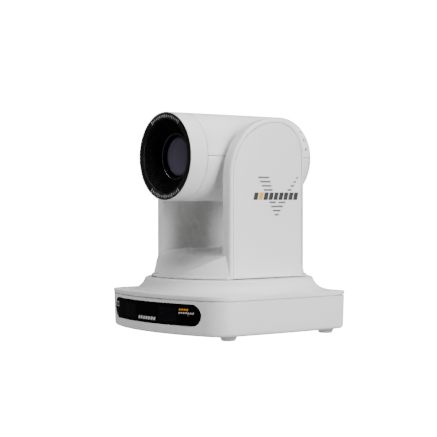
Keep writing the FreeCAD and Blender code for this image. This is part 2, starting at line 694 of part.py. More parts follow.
def belt_loop(sketch, near, near_radius, far, far_radius):
    """Two arcs and the two straight runs that touch them; the points are pairs of formulas."""
    near_x, near_y, far_x, far_y = (size(value) for value in (*near, *far))
    near_r, far_r = size(near_radius), size(far_radius)
    heading = math.atan2(far_y - near_y, far_x - near_x)
    spread = math.acos((near_r - far_r) / math.hypot(far_x - near_x, far_y - near_y))
    big = arc(sketch, near_x, near_y, near_r, heading + spread, heading - spread + 2 * math.pi)
    small = arc(sketch, far_x, far_y, far_r, heading - spread, heading + spread)
    runs = []
    for angle in (heading - spread, heading + spread):
        across = math.cos(angle), math.sin(angle)
        runs.append(line(sketch, near_x + near_r * across[0], near_y + near_r * across[1],
                         far_x + far_r * across[0], far_y + far_r * across[1]))
    relate(sketch, "Tangent", big, POINT_END, runs[0], POINT_START)
    relate(sketch, "Tangent", runs[0], POINT_END, small, POINT_START)
    relate(sketch, "Tangent", small, POINT_END, runs[1], POINT_END)
    relate(sketch, "Tangent", runs[1], POINT_START, big, POINT_START)
    for curve, radius, centre in ((big, near_radius, near), (small, far_radius, far)):
        fix(sketch, "Radius", curve, radius)
        for kind, axis, value in (("DistanceX", -2, centre[0]), ("DistanceY", -1, centre[1])):
            if size(value):
                fix(sketch, kind, ORIGIN, POINT_START, curve, POINT_CENTRE, value)
            else:
                relate(sketch, "PointOnObject", curve, POINT_CENTRE, axis)


def belt(name, role, offset, wide, near, near_radius, far, far_radius):
    body = new_body(name)
    sketch = sketch_on(body, role, name + "_loop", offset)
    for extra in ("belt_gap", "belt_gap + belt_thick"):
        belt_loop(sketch, near, f"{near_radius} + {extra}", far, f"{far_radius} + {extra}")
    pad(body, sketch, wide)
    return node(body, name)


def pulley(name, role, radius, bore, low, wide, flange, centre):
    """A turned pulley: a core with a flange at each end and a bore, at a centre in the sketch plane."""
    body = new_body(name)
    layers = [(low, flange, f"{radius} + pulley_flange"),
              (f"{low} + {flange}", f"{wide} - 2*{flange}", radius),
              (f"{low} + {wide} - {flange}", flange, f"{radius} + pulley_flange")]
    for number, (start, thick, layer_radius) in enumerate(layers):
        sketch = sketch_on(body, role, f"{name}_layer_{number}", start)
        circle(sketch, layer_radius, *centre)
        circle(sketch, bore, *centre)
        pad(body, sketch, thick)
    return node(body, name)


def pan_drive():
    node(tube("pan_race", "bearing_outer", "pan_shaft_radius + running_gap", "neck_top - pan_bearing_low",
              z="pan_bearing_low"), "pan_bearing")
    spindle = rod("spindle_stem", "pan_shaft_radius", "yoke_bottom + shell_wall - spindle_low + 0.5",
                  z="spindle_low")
    flange = rod("spindle_disc", "spindle_flange", "2", z="yoke_bottom + shell_wall")
    passage = rod("spindle_passage", "cable_bore", "40", z="spindle_low - 5")
    node(cut("spindle", fuse("spindle_solid", spindle, flange), passage), "pan_spindle")
    pan_wide = "(belt_wide + 2*pulley_flange + 0.6)"
    pulley("pan_pulley", "XY_Plane", "pan_pulley_radius", "pan_shaft_radius", "pan_pulley_low", pan_wide,
           "pulley_flange", ("0", "0"))
    pulley("pan_motor_pulley", "XY_Plane", "pan_motor_pulley_radius", "motor_shaft_radius + running_gap",
           "pan_pulley_low", pan_wide, "pulley_flange", ("0", "-pan_motor_reach"))
    belt("pan_belt", "XY_Plane", "pan_pulley_low + pulley_flange + 0.3", "belt_wide", ("0", "0"),
         "pan_pulley_radius", ("0", "-pan_motor_reach"), "pan_motor_pulley_radius")
    can = rod("pan_motor_can", "pan_motor_radius", "pan_motor_high - pan_motor_low", "0",
              "-pan_motor_reach", "pan_motor_low")
    shaft = rod("pan_motor_shaft", "motor_shaft_radius", "pan_pulley_low + 5 - pan_motor_high", "0",
                "-pan_motor_reach", "pan_motor_high")
    node(fuse("pan_motor_solid", can, shaft), "pan_motor")
    bracket = new_body("pan_motor_bracket")
    profile = sketch_on(bracket, "XZ_Plane", "bracket_profile", "pan_motor_reach - pan_motor_radius")
    inner, outer = "(pan_motor_radius + 3)", "(pan_motor_radius + 3 + motor_plate)"
    top, low = "(pan_motor_high + motor_plate)", "(base_floor + motor_plate)"
    polygon(profile, [(f"-{outer} - 5", "base_floor"), (f"-{inner}", "base_floor"),
                      (f"-{inner}", "pan_motor_high"), (inner, "pan_motor_high"), (inner, "base_floor"),
                      (f"{outer} + 5", "base_floor"), (f"{outer} + 5", low), (outer, low), (outer, top),
                      (f"-{outer}", top), (f"-{outer}", low), (f"-{outer} - 5", low)])
    pad(bracket, profile, "2*pan_motor_radius - 4")
    hole = sketch_on(bracket, "XY_Plane", "bracket_hole", top)
    circle(hole, "motor_shaft_radius + 2", "0", "-pan_motor_reach")
    pocket(bracket, hole, "motor_plate + 1")
    node(bracket, "pan_motor_bracket")


# Yoke

def saddle(name, down):
    """Everything under the saddle: a curve that falls to the front and a flat part under the head."""
    curve = rod(name + "_curve", f"saddle_radius - ({down})", "200", "-100", "-saddle_centre_back",
                "-saddle_centre_low", "x")
    flat = box(name + "_flat", "-100", "100", "-saddle_centre_back", "100", "0", f"saddle_top - ({down})")
    return fuse(name, curve, flat)


def turntable():
    drum = cone("drum", "turntable_radius", "turntable_top_radius", "saddle_top - yoke_bottom",
                z="yoke_bottom")
    flange = rod("drum_flange", "turntable_flange", "flange_height", z="yoke_bottom")
    sides = box("drum_sides", "-arm_outer", "arm_outer", "-100", "100", "0", "200")
    outside = common("drum_outside", fuse("drum_solid", drum, flange), sides, saddle("saddle_outer", "0"))
    hollow_cone = cone("drum_hollow", "turntable_radius - shell_wall", "turntable_top_radius - shell_wall",
                       "saddle_top - shell_wall - yoke_bottom", z="yoke_bottom")
    room = box("drum_room", "-arm_inner + shell_wall", "arm_inner - shell_wall", "-100", "100",
               "yoke_bottom + shell_wall", "200")
    inside = common("drum_inside", hollow_cone, room, saddle("saddle_inner", "shell_wall"))
    arm_slots = [box(f"arm_slot_{word}", x0, x1, "-arm_front", "arm_rear", "0", "200")
                 for word, x0, x1 in (("right", "arm_inner", "100"), ("left", "-100", "-arm_inner"))]
    neck = rod("drum_neck_hole", "pan_shaft_radius + fit_gap", "20", z="yoke_bottom - 5")
    motor_hole = rod("drum_motor_hole", "2*motor_shaft_radius", "20", "arm_inner - 10", "tilt_motor_back",
                     "tilt_motor_height", "x")
    screw_holes = frame_screw_rods("drum_screw_hole", "screw_hole_radius", "-8", "6")
    node(cut("turntable", outside, inside, *arm_slots, neck, motor_hole, *screw_holes), "turntable_shell")


def arm_outline(sketch, inset, low):
    """Side view of an arm, leaning back at the top; every edge but the lowest moves in by the inset."""
    front, rear = f"arm_front - ({inset})", f"arm_rear - ({inset})"
    top, front_radius, rear_radius = (f"arm_top - ({inset})", f"arm_front_radius - ({inset})",
                                      f"arm_rear_radius - ({inset})")
    front_y, rear_y, top_z, low_z = -size(front), size(rear), size(top), size(low)
    front_r, rear_r = size(front_radius), size(rear_radius)
    front_line = line(sketch, front_y, low_z, front_y, top_z - front_r)
    front_arc = arc(sketch, front_y + front_r, top_z - front_r, front_r, 0.5 * math.pi, math.pi)
    crown = line(sketch, front_y + front_r, top_z, rear_y - rear_r, top_z)
    rear_arc = arc(sketch, rear_y - rear_r, top_z - rear_r, rear_r, 0, 0.5 * math.pi)
    rear_line = line(sketch, rear_y, top_z - rear_r, rear_y, low_z)
    sill = line(sketch, rear_y, low_z, front_y, low_z)
    relate(sketch, "Tangent", front_line, POINT_END, front_arc, POINT_END)
    relate(sketch, "Tangent", front_arc, POINT_START, crown, POINT_START)
    relate(sketch, "Tangent", crown, POINT_END, rear_arc, POINT_END)
    relate(sketch, "Tangent", rear_arc, POINT_START, rear_line, POINT_START)
    relate(sketch, "Coincident", rear_line, POINT_END, sill, POINT_START)
    relate(sketch, "Coincident", sill, POINT_END, front_line, POINT_START)
    relate(sketch, "Vertical", front_line)
    relate(sketch, "Vertical", rear_line)
    relate(sketch, "Horizontal", crown)
    relate(sketch, "Horizontal", sill)
    fix(sketch, "Radius", front_arc, front_radius)
    fix(sketch, "Radius", rear_arc, rear_radius)
    fix(sketch, "DistanceX", ORIGIN, POINT_START, front_line, POINT_START, f"-({front})")
    fix(sketch, "DistanceX", ORIGIN, POINT_START, rear_line, POINT_START, rear)
    fix(sketch, "DistanceY", ORIGIN, POINT_START, front_line, POINT_START, low)
    fix(sketch, "DistanceY", ORIGIN, POINT_START, crown, POINT_START, top)


def arm(word):
    """An arm shell with its side cover; the left one is built away from the middle the other way."""
    sign, left = ("", False) if word == "right" else ("-", True)
    shell = new_body(f"{word}_arm")
    outline = sketch_on(shell, "YZ_Plane", f"{word}_arm_outline", f"{sign}arm_inner")
    arm_outline(outline, "0", "yoke_bottom")
    pad(shell, outline, "arm_outer - arm_inner", downwards=left)
    outer_x, low_z = size(f"{sign}arm_outer"), size("yoke_bottom")
    round_edges(shell, f"{word}_arm_round", "arm_edge_round",
                lambda edge: ends_at(edge, "x", outer_x) and edge.CenterOfMass.z > low_z + 1)
    recess = sketch_on(shell, "YZ_Plane", f"{word}_cover_recess", f"{sign}arm_outer")
    arm_outline(recess, "cover_inset", "yoke_bottom - 5")
    pocket(shell, recess, "cover_thick + cover_groove", upwards=left)
    room = sketch_on(shell, "YZ_Plane", f"{word}_arm_room", f"{sign}(arm_outer - cover_thick - cover_groove)")
    arm_outline(room, "cover_inset + cover_ledge", "yoke_bottom + arm_wall")
    pocket(shell, room, "arm_outer - cover_thick - cover_groove - arm_inner - arm_wall", upwards=left)
    start = "arm_inner - 5" if word == "right" else "-arm_inner - 5"
    holes = [rod(f"{word}_bearing_hole", "tilt_bearing_radius", "10", start, "0", "tilt_axis", "x")]
    if word == "right":
        holes.append(rod("arm_motor_hole", "2*motor_shaft_radius", "10", start, "tilt_motor_back",
                         "tilt_motor_height", "x"))
    holes += frame_screw_rods(f"{word}_arm_screw_hole", "screw_radius", "-2", "6")
    node(cut(f"{word}_arm_shell_solid", shell, *holes), f"{word}_arm_shell")

    panel = new_body(f"{word}_cover")
    face = sketch_on(panel, "YZ_Plane", f"{word}_cover_outline", f"{sign}(arm_outer - cover_thick)")
    arm_outline(face, "cover_inset + cover_groove", "yoke_bottom + cover_groove")
    pad(panel, face, "cover_thick", downwards=left)
    slots = sketch_on(panel, "YZ_Plane", f"{word}_cover_slots", f"{sign}arm_outer")
    for y0, y1, z in slot_places():
        polygon(slots, [(f"{y0}", f"{z}"), (f"{y1}", f"{z}"), (f"{y1}", f"{z + SLOT_HIGH}"),
                        (f"{y0}", f"{z + SLOT_HIGH}")])
    pocket(panel, slots, "cover_thick + 1", upwards=left)
    node(panel, f"{word}_arm_cover")


def slot_places():
    """Cooling slots in the shape of a V: front end, rear end and lower edge of each."""
    places = []
    for number in range(SLOT_ROWS):
        if number in LABEL_ROWS:
            continue
        low = SLOT_TOP - SLOT_PITCH * number - SLOT_HIGH / 2
        front_leg = (-9.6 + 1.85 * number, 1.9 + 1.17 * number)
        rear_leg = (29.5 - 3.07 * number, 31.5 - 2.2 * number)
        if front_leg[1] + 1 < rear_leg[0]:
            places += [(*front_leg, low), (*rear_leg, low)]
        else:
            places.append((front_leg[0], rear_leg[1], low))
    return [tuple(round(value, 3) for value in place_of) for place_of in places]


def frame_screw_rods(name, radius, inner, outer):
    """Rods along X at the four frame screws, from inner to outer, measured from the arm's inner face."""
    rods = []
    for word, start in (("right", f"arm_inner + ({inner})"), ("left", f"-arm_inner - ({outer})")):
        for end, y in (("front", "-frame_front + 13"), ("rear", "frame_rear - 11")):
            rods.append(rod(f"{name}_{word}_{end}", radius, f"({outer}) - ({inner})", start, y,
                            "frame_screw_height", "x"))
    return rods


def yoke_frame():
    body = new_body("frame_body")
    profile = sketch_on(body, "XZ_Plane", "frame_profile", "-frame_rear")
    out, low = "(arm_inner - shell_wall)", "(yoke_bottom + shell_wall + 2)"
    inner, high = f"({out} - frame_thick)", f"({low} + frame_thick)"
    polygon(profile, [(f"-{out}", low), (out, low), (out, "frame_tab_top"), (inner, "frame_tab_top"),
                      (inner, high), (f"-{inner}", high), (f"-{inner}", "frame_tab_top"),
                      (f"-{out}", "frame_tab_top")])
    pad(body, profile, "frame_front + frame_rear")
    hole = sketch_on(body, "XY_Plane", "frame_hole", high)
    circle(hole, "cable_bore")
    pocket(body, hole, "frame_thick + 1")
    screw_holes = frame_screw_rods("frame_screw_hole", "screw_hole_radius", "-6", "0")
    node(cut("frame_solid", body, *screw_holes), "yoke_frame")
    shanks = frame_screw_rods("frame_screw_shank", "screw_radius", "-shell_wall - frame_thick", "arm_wall")
    heads = frame_screw_rods("frame_screw_head", "screw_head_radius", "-shell_wall - frame_thick - 1.2",
                             "-shell_wall - frame_thick")
    screws = [fuse(f"frame_screw_{n}", shank, head) for n, (shank, head) in enumerate(zip(shanks, heads))]
    node(group("frame_screw_set", *screws), "yoke_frame_screws")


def tilt_drive():
    rings = [tube(f"tilt_race_{word}", "tilt_bearing_radius", "tilt_shaft_radius + running_gap",
                  "tilt_bearing_wide", start, "0", "tilt_axis", "x")
             for word, start in (("right", "arm_inner"), ("left", "-arm_inner - tilt_bearing_wide"))]
    node(group("tilt_races", *rings), "tilt_bearings")
    can = rod("tilt_motor_can", "tilt_motor_radius", "tilt_motor_length",
              "arm_inner - shell_wall - tilt_motor_length", "tilt_motor_back", "tilt_motor_height", "x")
    shaft = rod("tilt_motor_shaft", "motor_shaft_radius", "shell_wall + tilt_bearing_wide + 3",
                "arm_inner - shell_wall", "tilt_motor_back", "tilt_motor_height", "x")
    node(fuse("tilt_motor_solid", can, shaft), "tilt_motor")
    start = "arm_inner + tilt_bearing_wide + belt_gap"
    flange = "0.5"
    pulley("tilt_pulley", "YZ_Plane", "tilt_pulley_radius", "tilt_shaft_radius", start, "tilt_pulley_wide",
           flange, ("0", "tilt_axis"))
    pulley("tilt_motor_pulley", "YZ_Plane", "tilt_motor_pulley_radius", "motor_shaft_radius + running_gap",
           start, "tilt_pulley_wide", flange, ("tilt_motor_back", "tilt_motor_height"))
    belt("tilt_belt", "YZ_Plane", f"{start} + (tilt_pulley_wide - tilt_belt_wide)/2", "tilt_belt_wide",
         ("0", "tilt_axis"), "tilt_pulley_radius", ("tilt_motor_back", "tilt_motor_height"),
         "tilt_motor_pulley_radius")


# Head

BEZEL_REAR = "-head_front + bezel_length"
HOOD_MOUTH = "head_radius - bezel_rim - face_ring_width"
HOOD_FRONT = "-head_front + ring_thick"
HOOD_REAR = "-head_front + ring_thick + hood_depth"
BARREL_FRONT = "-head_front + ring_thick + hood_depth + bright_ring_thick"
BARREL_REAR = "-head_front + ring_thick + hood_depth + bright_ring_thick + barrel_length"


def head_solid(name, inset, front):
    """The barrel of the head with its domed rear."""
    barrel = rod(name + "_barrel", f"head_radius - ({inset})", f"head_barrel_rear - ({front})", "0", front,
                 "tilt_axis", "y")
    dome = doc.addObject("Part::Ellipsoid", name + "_dome")
    bind(dome, Radius1=f"head_dome - ({inset})", Radius2=f"head_radius - ({inset})")
    dome.setExpression("Radius3", cell(f"head_radius - ({inset})"))
    place(dome, "0", "head_barrel_rear", "tilt_axis", "y")
    return fuse(name, barrel, dome)


def vent_holes():
    holes = []
    for number in range(13):
        hole = rod(f"vent_hole_{number}", "vent_hole_radius", "60", "0", "head_barrel_rear + 1.5",
                   "tilt_axis")
        turn = FreeCAD.Rotation(Y, -78 + 13 * number)
        bind(hole, Placement_at_Base_at_x="0")
        hole.Placement = FreeCAD.Placement(hole.Placement.Base, turn)
        holes.append(hole)
    return holes


def head_shells():
    collar = rod("collar_hole", "tilt_collar_radius + fit_gap", "200", "-100", "0", "tilt_axis", "x")
    for word, low, high in (("upper", "tilt_axis", "tilt_axis + 100"),
                            ("lower", "tilt_axis - 100", "tilt_axis")):
        half = box(f"{word}_half", "-100", "100", BEZEL_REAR, "200", low, high)
        outside = common(f"{word}_outside", head_solid(f"{word}_outer", "0", BEZEL_REAR), half)
        inside = head_solid(f"{word}_inner", "head_wall", f"{BEZEL_REAR} - 1")
        tools = [inside, collar] + (vent_holes() if word == "upper" else [])
        node(cut(f"{word}_shell", outside, *tools), f"head_{word}_shell")


def head_front():
    sleeve = rod("bezel_sleeve", "head_radius", "bezel_length", "0", "-head_front", "tilt_axis", "y")
    bore = rod("bezel_bore", "head_radius - head_wall", "bezel_length + 2", "0", "-head_front - 1",
               "tilt_axis", "y")
    seat = rod("bezel_seat", "head_radius - bezel_rim", "ring_thick + 1", "0", "-head_front - 1",
               "tilt_axis", "y")
    node(cut("bezel", sleeve, bore, seat), "front_bezel")
    node(tube("face_ring", "head_radius - bezel_rim", HOOD_MOUTH, "ring_thick - 0.3", "0",
              "-head_front + 0.3", "tilt_axis", "y"), "lens_face_ring")
    outer = cone("hood_outer", HOOD_MOUTH + " + hood_wall", "hood_throat_radius + hood_wall",
                 "hood_depth", "0", HOOD_FRONT, "tilt_axis", "y")
    inner = cone("hood_inner", HOOD_MOUTH, "hood_throat_radius", "hood_depth", "0", HOOD_FRONT,
                 "tilt_axis", "y")
    node(cut("hood", outer, inner), "lens_hood")
    node(tube("bright_ring_body", "hood_throat_radius + hood_wall", "bright_ring_inner", "bright_ring_thick",
              "0", HOOD_REAR, "tilt_axis", "y"), "lens_bright_ring")
    disc = rod("glass_disc", "barrel_outer - barrel_wall - 0.1", "front_glass_thick", "0", HOOD_REAR,
               "tilt_axis", "y")
    ball = doc.addObject("Part::Sphere", "glass_curve")
    bind(ball, Radius="front_glass_curve")
    place(ball, "0", f"{HOOD_REAR} + front_glass_curve", "tilt_axis")
    node(common("glass", disc, ball), "front_glass")


def lens_group(name, start):
    """A lens cell with two ears that slide on the guide rods."""
    front = f"-{start} - group_length/2"
    cell_ring = rod(name + "_cell", "group_radius", "group_length", "0", front, "tilt_axis", "y")
    ears = box(name + "_ears", "-rod_side - 2", "rod_side + 2", front, f"{front} + group_length",
               "tilt_axis - 3", "tilt_axis + 3")
    holes = [rod(f"{name}_rod_hole_{word}", "rod_radius + running_gap", "group_length + 2",
                 f"{sign}rod_side", f"{front} - 1", "tilt_axis", "y")
             for word, sign in (("right", ""), ("left", "-"))]
    node(cut(name + "_solid", fuse(name + "_blank", cell_ring, ears), *holes), name)


def camera_block():
    node(tube("lens_tube", "barrel_outer", "barrel_outer - barrel_wall", "barrel_length", "0", BARREL_FRONT,
              "tilt_axis", "y"), "lens_barrel")
    node(box("zoom_block", "-block_half_width", "block_half_width", BARREL_REAR,
             f"{BARREL_REAR} + block_length", "tilt_axis - block_low", "tilt_axis + block_high"),
         "zoom_block")
    rods = [rod(f"guide_rod_{word}", "rod_radius", "barrel_length - 7", f"{sign}rod_side",
                f"{BARREL_REAR} - barrel_length + 7", "tilt_axis", "y")
            for word, sign in (("right", ""), ("left", "-"))]
    node(group("guide_rod_pair", *rods), "guide_rods")
    lens_group("zoom_lens_group", "zoom_start")
    lens_group("focus_lens_group", "focus_start")
    node(box("sensor_card", "-block_half_width + 3", "block_half_width - 3",
             f"{BARREL_REAR} + block_length", f"{BARREL_REAR} + block_length + board_thick",
             "tilt_axis - block_low", "tilt_axis + block_high - 2"), "sensor_board")


def chassis():
    body = new_body("chassis_body")
    profile = sketch_on(body, "XZ_Plane", "chassis_profile", "-chassis_rear")
    out, inner = "(chassis_side + chassis_thick)", "chassis_side"
    low, floor = "(tilt_axis - block_low - chassis_thick)", "(tilt_axis - block_low)"
    high = "(tilt_axis + 12)"
    polygon(profile, [(f"-{out}", low), (out, low), (out, high), (inner, high), (inner, floor),
                      (f"-{inner}", floor), (f"-{inner}", high), (f"-{out}", high)])
    pad(body, profile, "chassis_front + chassis_rear")
    barrel_room = rod("chassis_barrel_room", "barrel_outer + body_gap", "20", "0",
                      f"{BARREL_REAR} - 20 + body_gap", "tilt_axis", "y")
    shafts = rod("chassis_shaft_hole", "tilt_shaft_radius", "200", "-100", "0", "tilt_axis", "x")
    node(cut("chassis", body, barrel_room, shafts), "head_chassis")
    right_end = "arm_inner + tilt_bearing_wide + belt_gap + tilt_pulley_wide"
    pieces = []
    for word, shaft_start, shaft_end, collar_start, collar_end in (
            ("right", "chassis_side", right_end, "chassis_side + chassis_thick", "arm_inner - body_gap"),
            ("left", "-arm_inner - tilt_bearing_wide", "-chassis_side", "-arm_inner + body_gap",
             "-chassis_side - chassis_thick")):
        shaft = rod(f"tilt_shaft_{word}", "tilt_shaft_radius", f"({shaft_end}) - ({shaft_start})",
                    shaft_start, "0", "tilt_axis", "x")
        collar = rod(f"tilt_collar_{word}", "tilt_collar_radius", f"({collar_end}) - ({collar_start})",
                     collar_start, "0", "tilt_axis", "x")
        pieces.append(fuse(f"tilt_stub_{word}", shaft, collar))
    node(group("tilt_stubs", *pieces), "tilt_shafts")


def build_all():
    base_tub()
    base_top_cover()
    front_strip()
    rubber_feet()
    underside()
    main_board()
    sockets()
    rotary_switch()
    pan_drive()
    turntable()
    arm("right")
    arm("left")
    yoke_frame()
    tilt_drive()
    head_shells()
    head_front()
    camera_block()
    chassis()


def check_and_write():
    doc.recompute()
    for obj in doc.Objects:
        if "Invalid" in obj.State or "Error" in obj.State:
            raise RuntimeError(f"{obj.Name} failed: {obj.State}")
    for obj in PARTS:
        if obj.Shape.isNull() or not obj.Shape.isValid() or not obj.Shape.Solids:
            raise RuntimeError(f"{obj.Label} has no sound shape")
    os.makedirs("parts", exist_ok=True)
    for obj in PARTS:
        obj.Shape.exportStep(os.path.join("parts", obj.Label + ".step"))
        print(obj.Label, len(obj.Shape.Solids), round(obj.Shape.Volume), "mm3")
    print(len(PARTS), "sub-parts")


build_all()
check_and_write()
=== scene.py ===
import json
import math

import bmesh
import bpy
from bpy.props import FloatProperty, PointerProperty, StringProperty
from mathutils import Matrix, Vector


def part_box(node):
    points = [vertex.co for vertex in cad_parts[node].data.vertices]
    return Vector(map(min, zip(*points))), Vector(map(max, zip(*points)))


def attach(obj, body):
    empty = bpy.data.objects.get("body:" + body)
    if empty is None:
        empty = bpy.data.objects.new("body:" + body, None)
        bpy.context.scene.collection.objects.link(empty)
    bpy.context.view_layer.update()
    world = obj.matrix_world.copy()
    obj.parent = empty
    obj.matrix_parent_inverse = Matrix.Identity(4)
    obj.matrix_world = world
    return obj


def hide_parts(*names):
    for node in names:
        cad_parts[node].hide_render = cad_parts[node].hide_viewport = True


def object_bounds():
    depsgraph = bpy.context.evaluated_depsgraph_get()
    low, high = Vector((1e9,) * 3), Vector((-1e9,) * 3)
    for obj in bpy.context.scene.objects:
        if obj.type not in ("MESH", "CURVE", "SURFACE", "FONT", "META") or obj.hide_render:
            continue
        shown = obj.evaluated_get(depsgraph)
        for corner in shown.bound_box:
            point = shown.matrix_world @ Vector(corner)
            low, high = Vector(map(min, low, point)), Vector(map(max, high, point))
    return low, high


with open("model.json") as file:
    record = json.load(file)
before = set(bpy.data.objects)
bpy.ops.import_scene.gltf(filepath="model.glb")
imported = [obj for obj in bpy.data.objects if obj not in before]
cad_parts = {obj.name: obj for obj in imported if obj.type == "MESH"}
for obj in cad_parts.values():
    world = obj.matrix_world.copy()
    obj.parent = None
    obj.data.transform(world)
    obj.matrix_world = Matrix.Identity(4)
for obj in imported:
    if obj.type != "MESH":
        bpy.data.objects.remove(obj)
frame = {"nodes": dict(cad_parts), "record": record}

bl_info = {
    "name": "Pan Tilt Zoom Camera",
    "version": (1, 0, 0),
    "blender": (4, 5, 0),
    "location": "3D View > Sidebar > Camera Unit",
    "description": "Builds the visible shells, lens and sockets of a pan-tilt-zoom camera round its frame",
    "category": "Add Mesh",
}

MM = 0.001
CAD_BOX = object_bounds()


def low(node):
    """Lowest corner of a CAD node in millimetres."""
    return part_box(node)[0] / MM


def high(node):
    """Highest corner of a CAD node in millimetres."""
    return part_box(node)[1] / MM


def middle(node):
    """Middle of a CAD node in millimetres, as (x, y, z)."""
    return tuple((a + b) / 2 for a, b in zip(low(node), high(node)))


# ---------------------------------------------------------------------------------------- settings

class UnitSizes(bpy.types.PropertyGroup):
    """Sizes of the shells in millimetres, taken from the frame where it has them."""
    front_bow: FloatProperty(name="Front bow radius", description="Radius of the bowed front of the base",
                             default=165.0)
    side_bow: FloatProperty(name="Side bow radius", description="Radius of the bowed sides", default=800.0)
    front_corner: FloatProperty(name="Front corner", description="Corner radius at the front", default=21.6)
    rear_corner: FloatProperty(name="Rear corner", description="Corner radius at the rear", default=7.0)
    draft: FloatProperty(name="Draft", description="How far the tub walls lean in, in degrees", default=2.3)
    wall: FloatProperty(name="Wall", description="Wall of the moulded shells", default=2.4)
    bottom_round: FloatProperty(name="Bottom round", description="Rounding under the tub", default=3.0)
    flare: FloatProperty(name="Flare", description="Radius of the hollow curve up to the neck", default=14.0)
    flare_foot: FloatProperty(name="Flare foot", description="Distance of the flare's foot from the pan axis",
                              default=80.5)
    arm_edge: FloatProperty(name="Arm edge", description="Rounding round the outside of the arms",
                            default=2.4)
    groove: FloatProperty(name="Groove", description="Gap round the side covers", default=0.34)
    arm_front_radius: FloatProperty(name="Arm front radius", description="Curve at the front of the arm top",
                                    default=45.8)
    arm_rear_radius: FloatProperty(name="Arm rear radius", description="Curve at the rear of the arm top",
                                   default=27.5)
    dome: FloatProperty(name="Dome", description="Depth of the domed rear of the head", default=20.0)
    head_wall: FloatProperty(name="Head wall", description="Wall of the head shells", default=2.2)
    seam: FloatProperty(name="Seam", description="Half the gap between two shells of the head", default=0.2)
    arc_step: FloatProperty(name="Arc step", description="Largest angle between points on a turned piece",
                            default=3.75)


class UnitColours(bpy.types.PropertyGroup):
    """Colours as sRGB hex values."""
    shell: StringProperty(name="Shell", description="White moulded shells", default="#E4E4E4")
    black: StringProperty(name="Black", description="Black lens parts", default="#161616")
    window: StringProperty(name="Window", description="Smoked front strip", default="#060606")
    # Mauve-grey of the painted reflection in the middle of the front glass.
    glass: StringProperty(name="Glass", description="Coated front glass", default="#504B5C")
    accent: StringProperty(name="Accent", description="Amber dash on the arm", default="#E39A1C")
    dash: StringProperty(name="Dash", description="Dark dashes on the arm", default="#1B1C1C")


class StageSettings(bpy.types.PropertyGroup):
    """Where the camera stands and how strong the lamps are."""
    azimuth: FloatProperty(name="Azimuth", description="Camera to the right of the front, in degrees",
                           default=51.9)
    elevation: FloatProperty(name="Elevation", description="Camera above level, in degrees", default=0.8)
    distance: FloatProperty(name="Distance", description="Camera from the point it aims at", default=1.045,
                            unit="LENGTH")
    lens: FloatProperty(name="Lens", description="Focal length in millimetres", default=107.3)
    aim_right: FloatProperty(name="Aim right", description="Aim point to the right of the pan axis",
                             default=-0.0084, unit="LENGTH")
    aim_up: FloatProperty(name="Aim up", description="Aim point above the base", default=0.0863,
                          unit="LENGTH")
    sky: FloatProperty(name="Surround", description="Strength of the light from all round", default=0.03)
    side: FloatProperty(name="Side lamp", description="Power of the large lamp on the right, in watts",
                        default=100.0)
    top: FloatProperty(name="Top lamp", description="Power of the lamp overhead, in watts", default=84.0)
    front: FloatProperty(name="Front lamp", description="Power of the low lamp in front, in watts",
                         default=33.0)
    glow: FloatProperty(name="Backdrop glow", description="How brightly the floor and backdrop show",
                        default=20.0)


GROUPS = {"unit_sizes": UnitSizes, "unit_colours": UnitColours, "unit_stage": StageSettings}


def sizes():
    return bpy.context.scene.unit_sizes


def colours():
    return bpy.context.scene.unit_colours


# --------------------------------------------------------------------------------------- materials

def linear(hex_colour):
    """An sRGB hex value as linear RGBA."""
    channels = [int(hex_colour[i:i + 2], 16) / 255 for i in (1, 3, 5)]
    return tuple(c / 12.92 if c <= 0.04045 else ((c + 0.055) / 1.055) ** 2.4 for c in channels) + (1.0,)


def add_node(material, kind, links=(), **settings):
    """Adds a node; settings name its sockets or attributes, links are (socket, source socket)."""
    node = material.node_tree.nodes.new(kind)
    for name, value in settings.items():
        socket = node.inputs.get(name.replace("_", " "))
        if socket is not None and not hasattr(node, name):
            socket.default_value = value
        else:
            setattr(node, name, value)
    for name, source in links:
        material.node_tree.links.new(node.inputs[name], source)
    return node


def new_material(name):
    """A material with its Principled shader; a material that exists already is given back as it is."""
    found = bpy.data.materials.get(name)
    if found:
        return found, None
    material = bpy.data.materials.new(name)
    material.use_nodes = True
    return material, material.node_tree.nodes["Principled BSDF"]


def surface(name, colour, roughness, grain_mm, grain_depth, colour_spread=0.04, rough_spread=0.06, **sockets):
    """A finish with its own fine grain: colour and roughness drift a little and the grain is a bump."""
    material, shader = new_material(name)
    if shader is None:
        return material
    link = material.node_tree.links.new
    for socket, value in sockets.items():
        shader.inputs[socket.replace("_", " ")].default_value = value
    place = add_node(material, "ShaderNodeTexCoord").outputs["Object"]
    grain = add_node(material, "ShaderNodeTexNoise", [("Vector", place)], Scale=1 / (grain_mm * MM),
                     Detail=3.0)
    cloud = add_node(material, "ShaderNodeTexNoise", [("Vector", place)], Scale=1 / (28 * MM), Detail=2.0)
    base = linear(colour)
    darker = tuple(c * (1 - colour_spread) for c in base[:3]) + (1.0,)
    tint = add_node(material, "ShaderNodeMix", data_type="RGBA")
    link(tint.inputs[0], cloud.outputs["Fac"])
    tint.inputs[6].default_value = darker
    tint.inputs[7].default_value = base
    link(shader.inputs["Base Color"], tint.outputs[2])
    drift = add_node(material, "ShaderNodeMapRange", [("Value", cloud.outputs["Fac"])])
    drift.inputs["To Min"].default_value = max(roughness - rough_spread, 0.02)
    drift.inputs["To Max"].default_value = min(roughness + rough_spread, 1)
    link(shader.inputs["Roughness"], drift.outputs["Result"])
    bump = add_node(material, "ShaderNodeBump", [("Height", grain.outputs["Fac"])], Strength=0.35,
                    Distance=grain_depth * MM)
    link(shader.inputs["Normal"], bump.outputs["Normal"])
    return material


def moulded_white_abs():
    """White ABS from a spark-eroded mould: a fine satin grain that softens every highlight."""
    return surface("moulded_white_abs", colours().shell, 0.42, 0.9, 0.02, 0.02, 0.05, IOR=1.53)


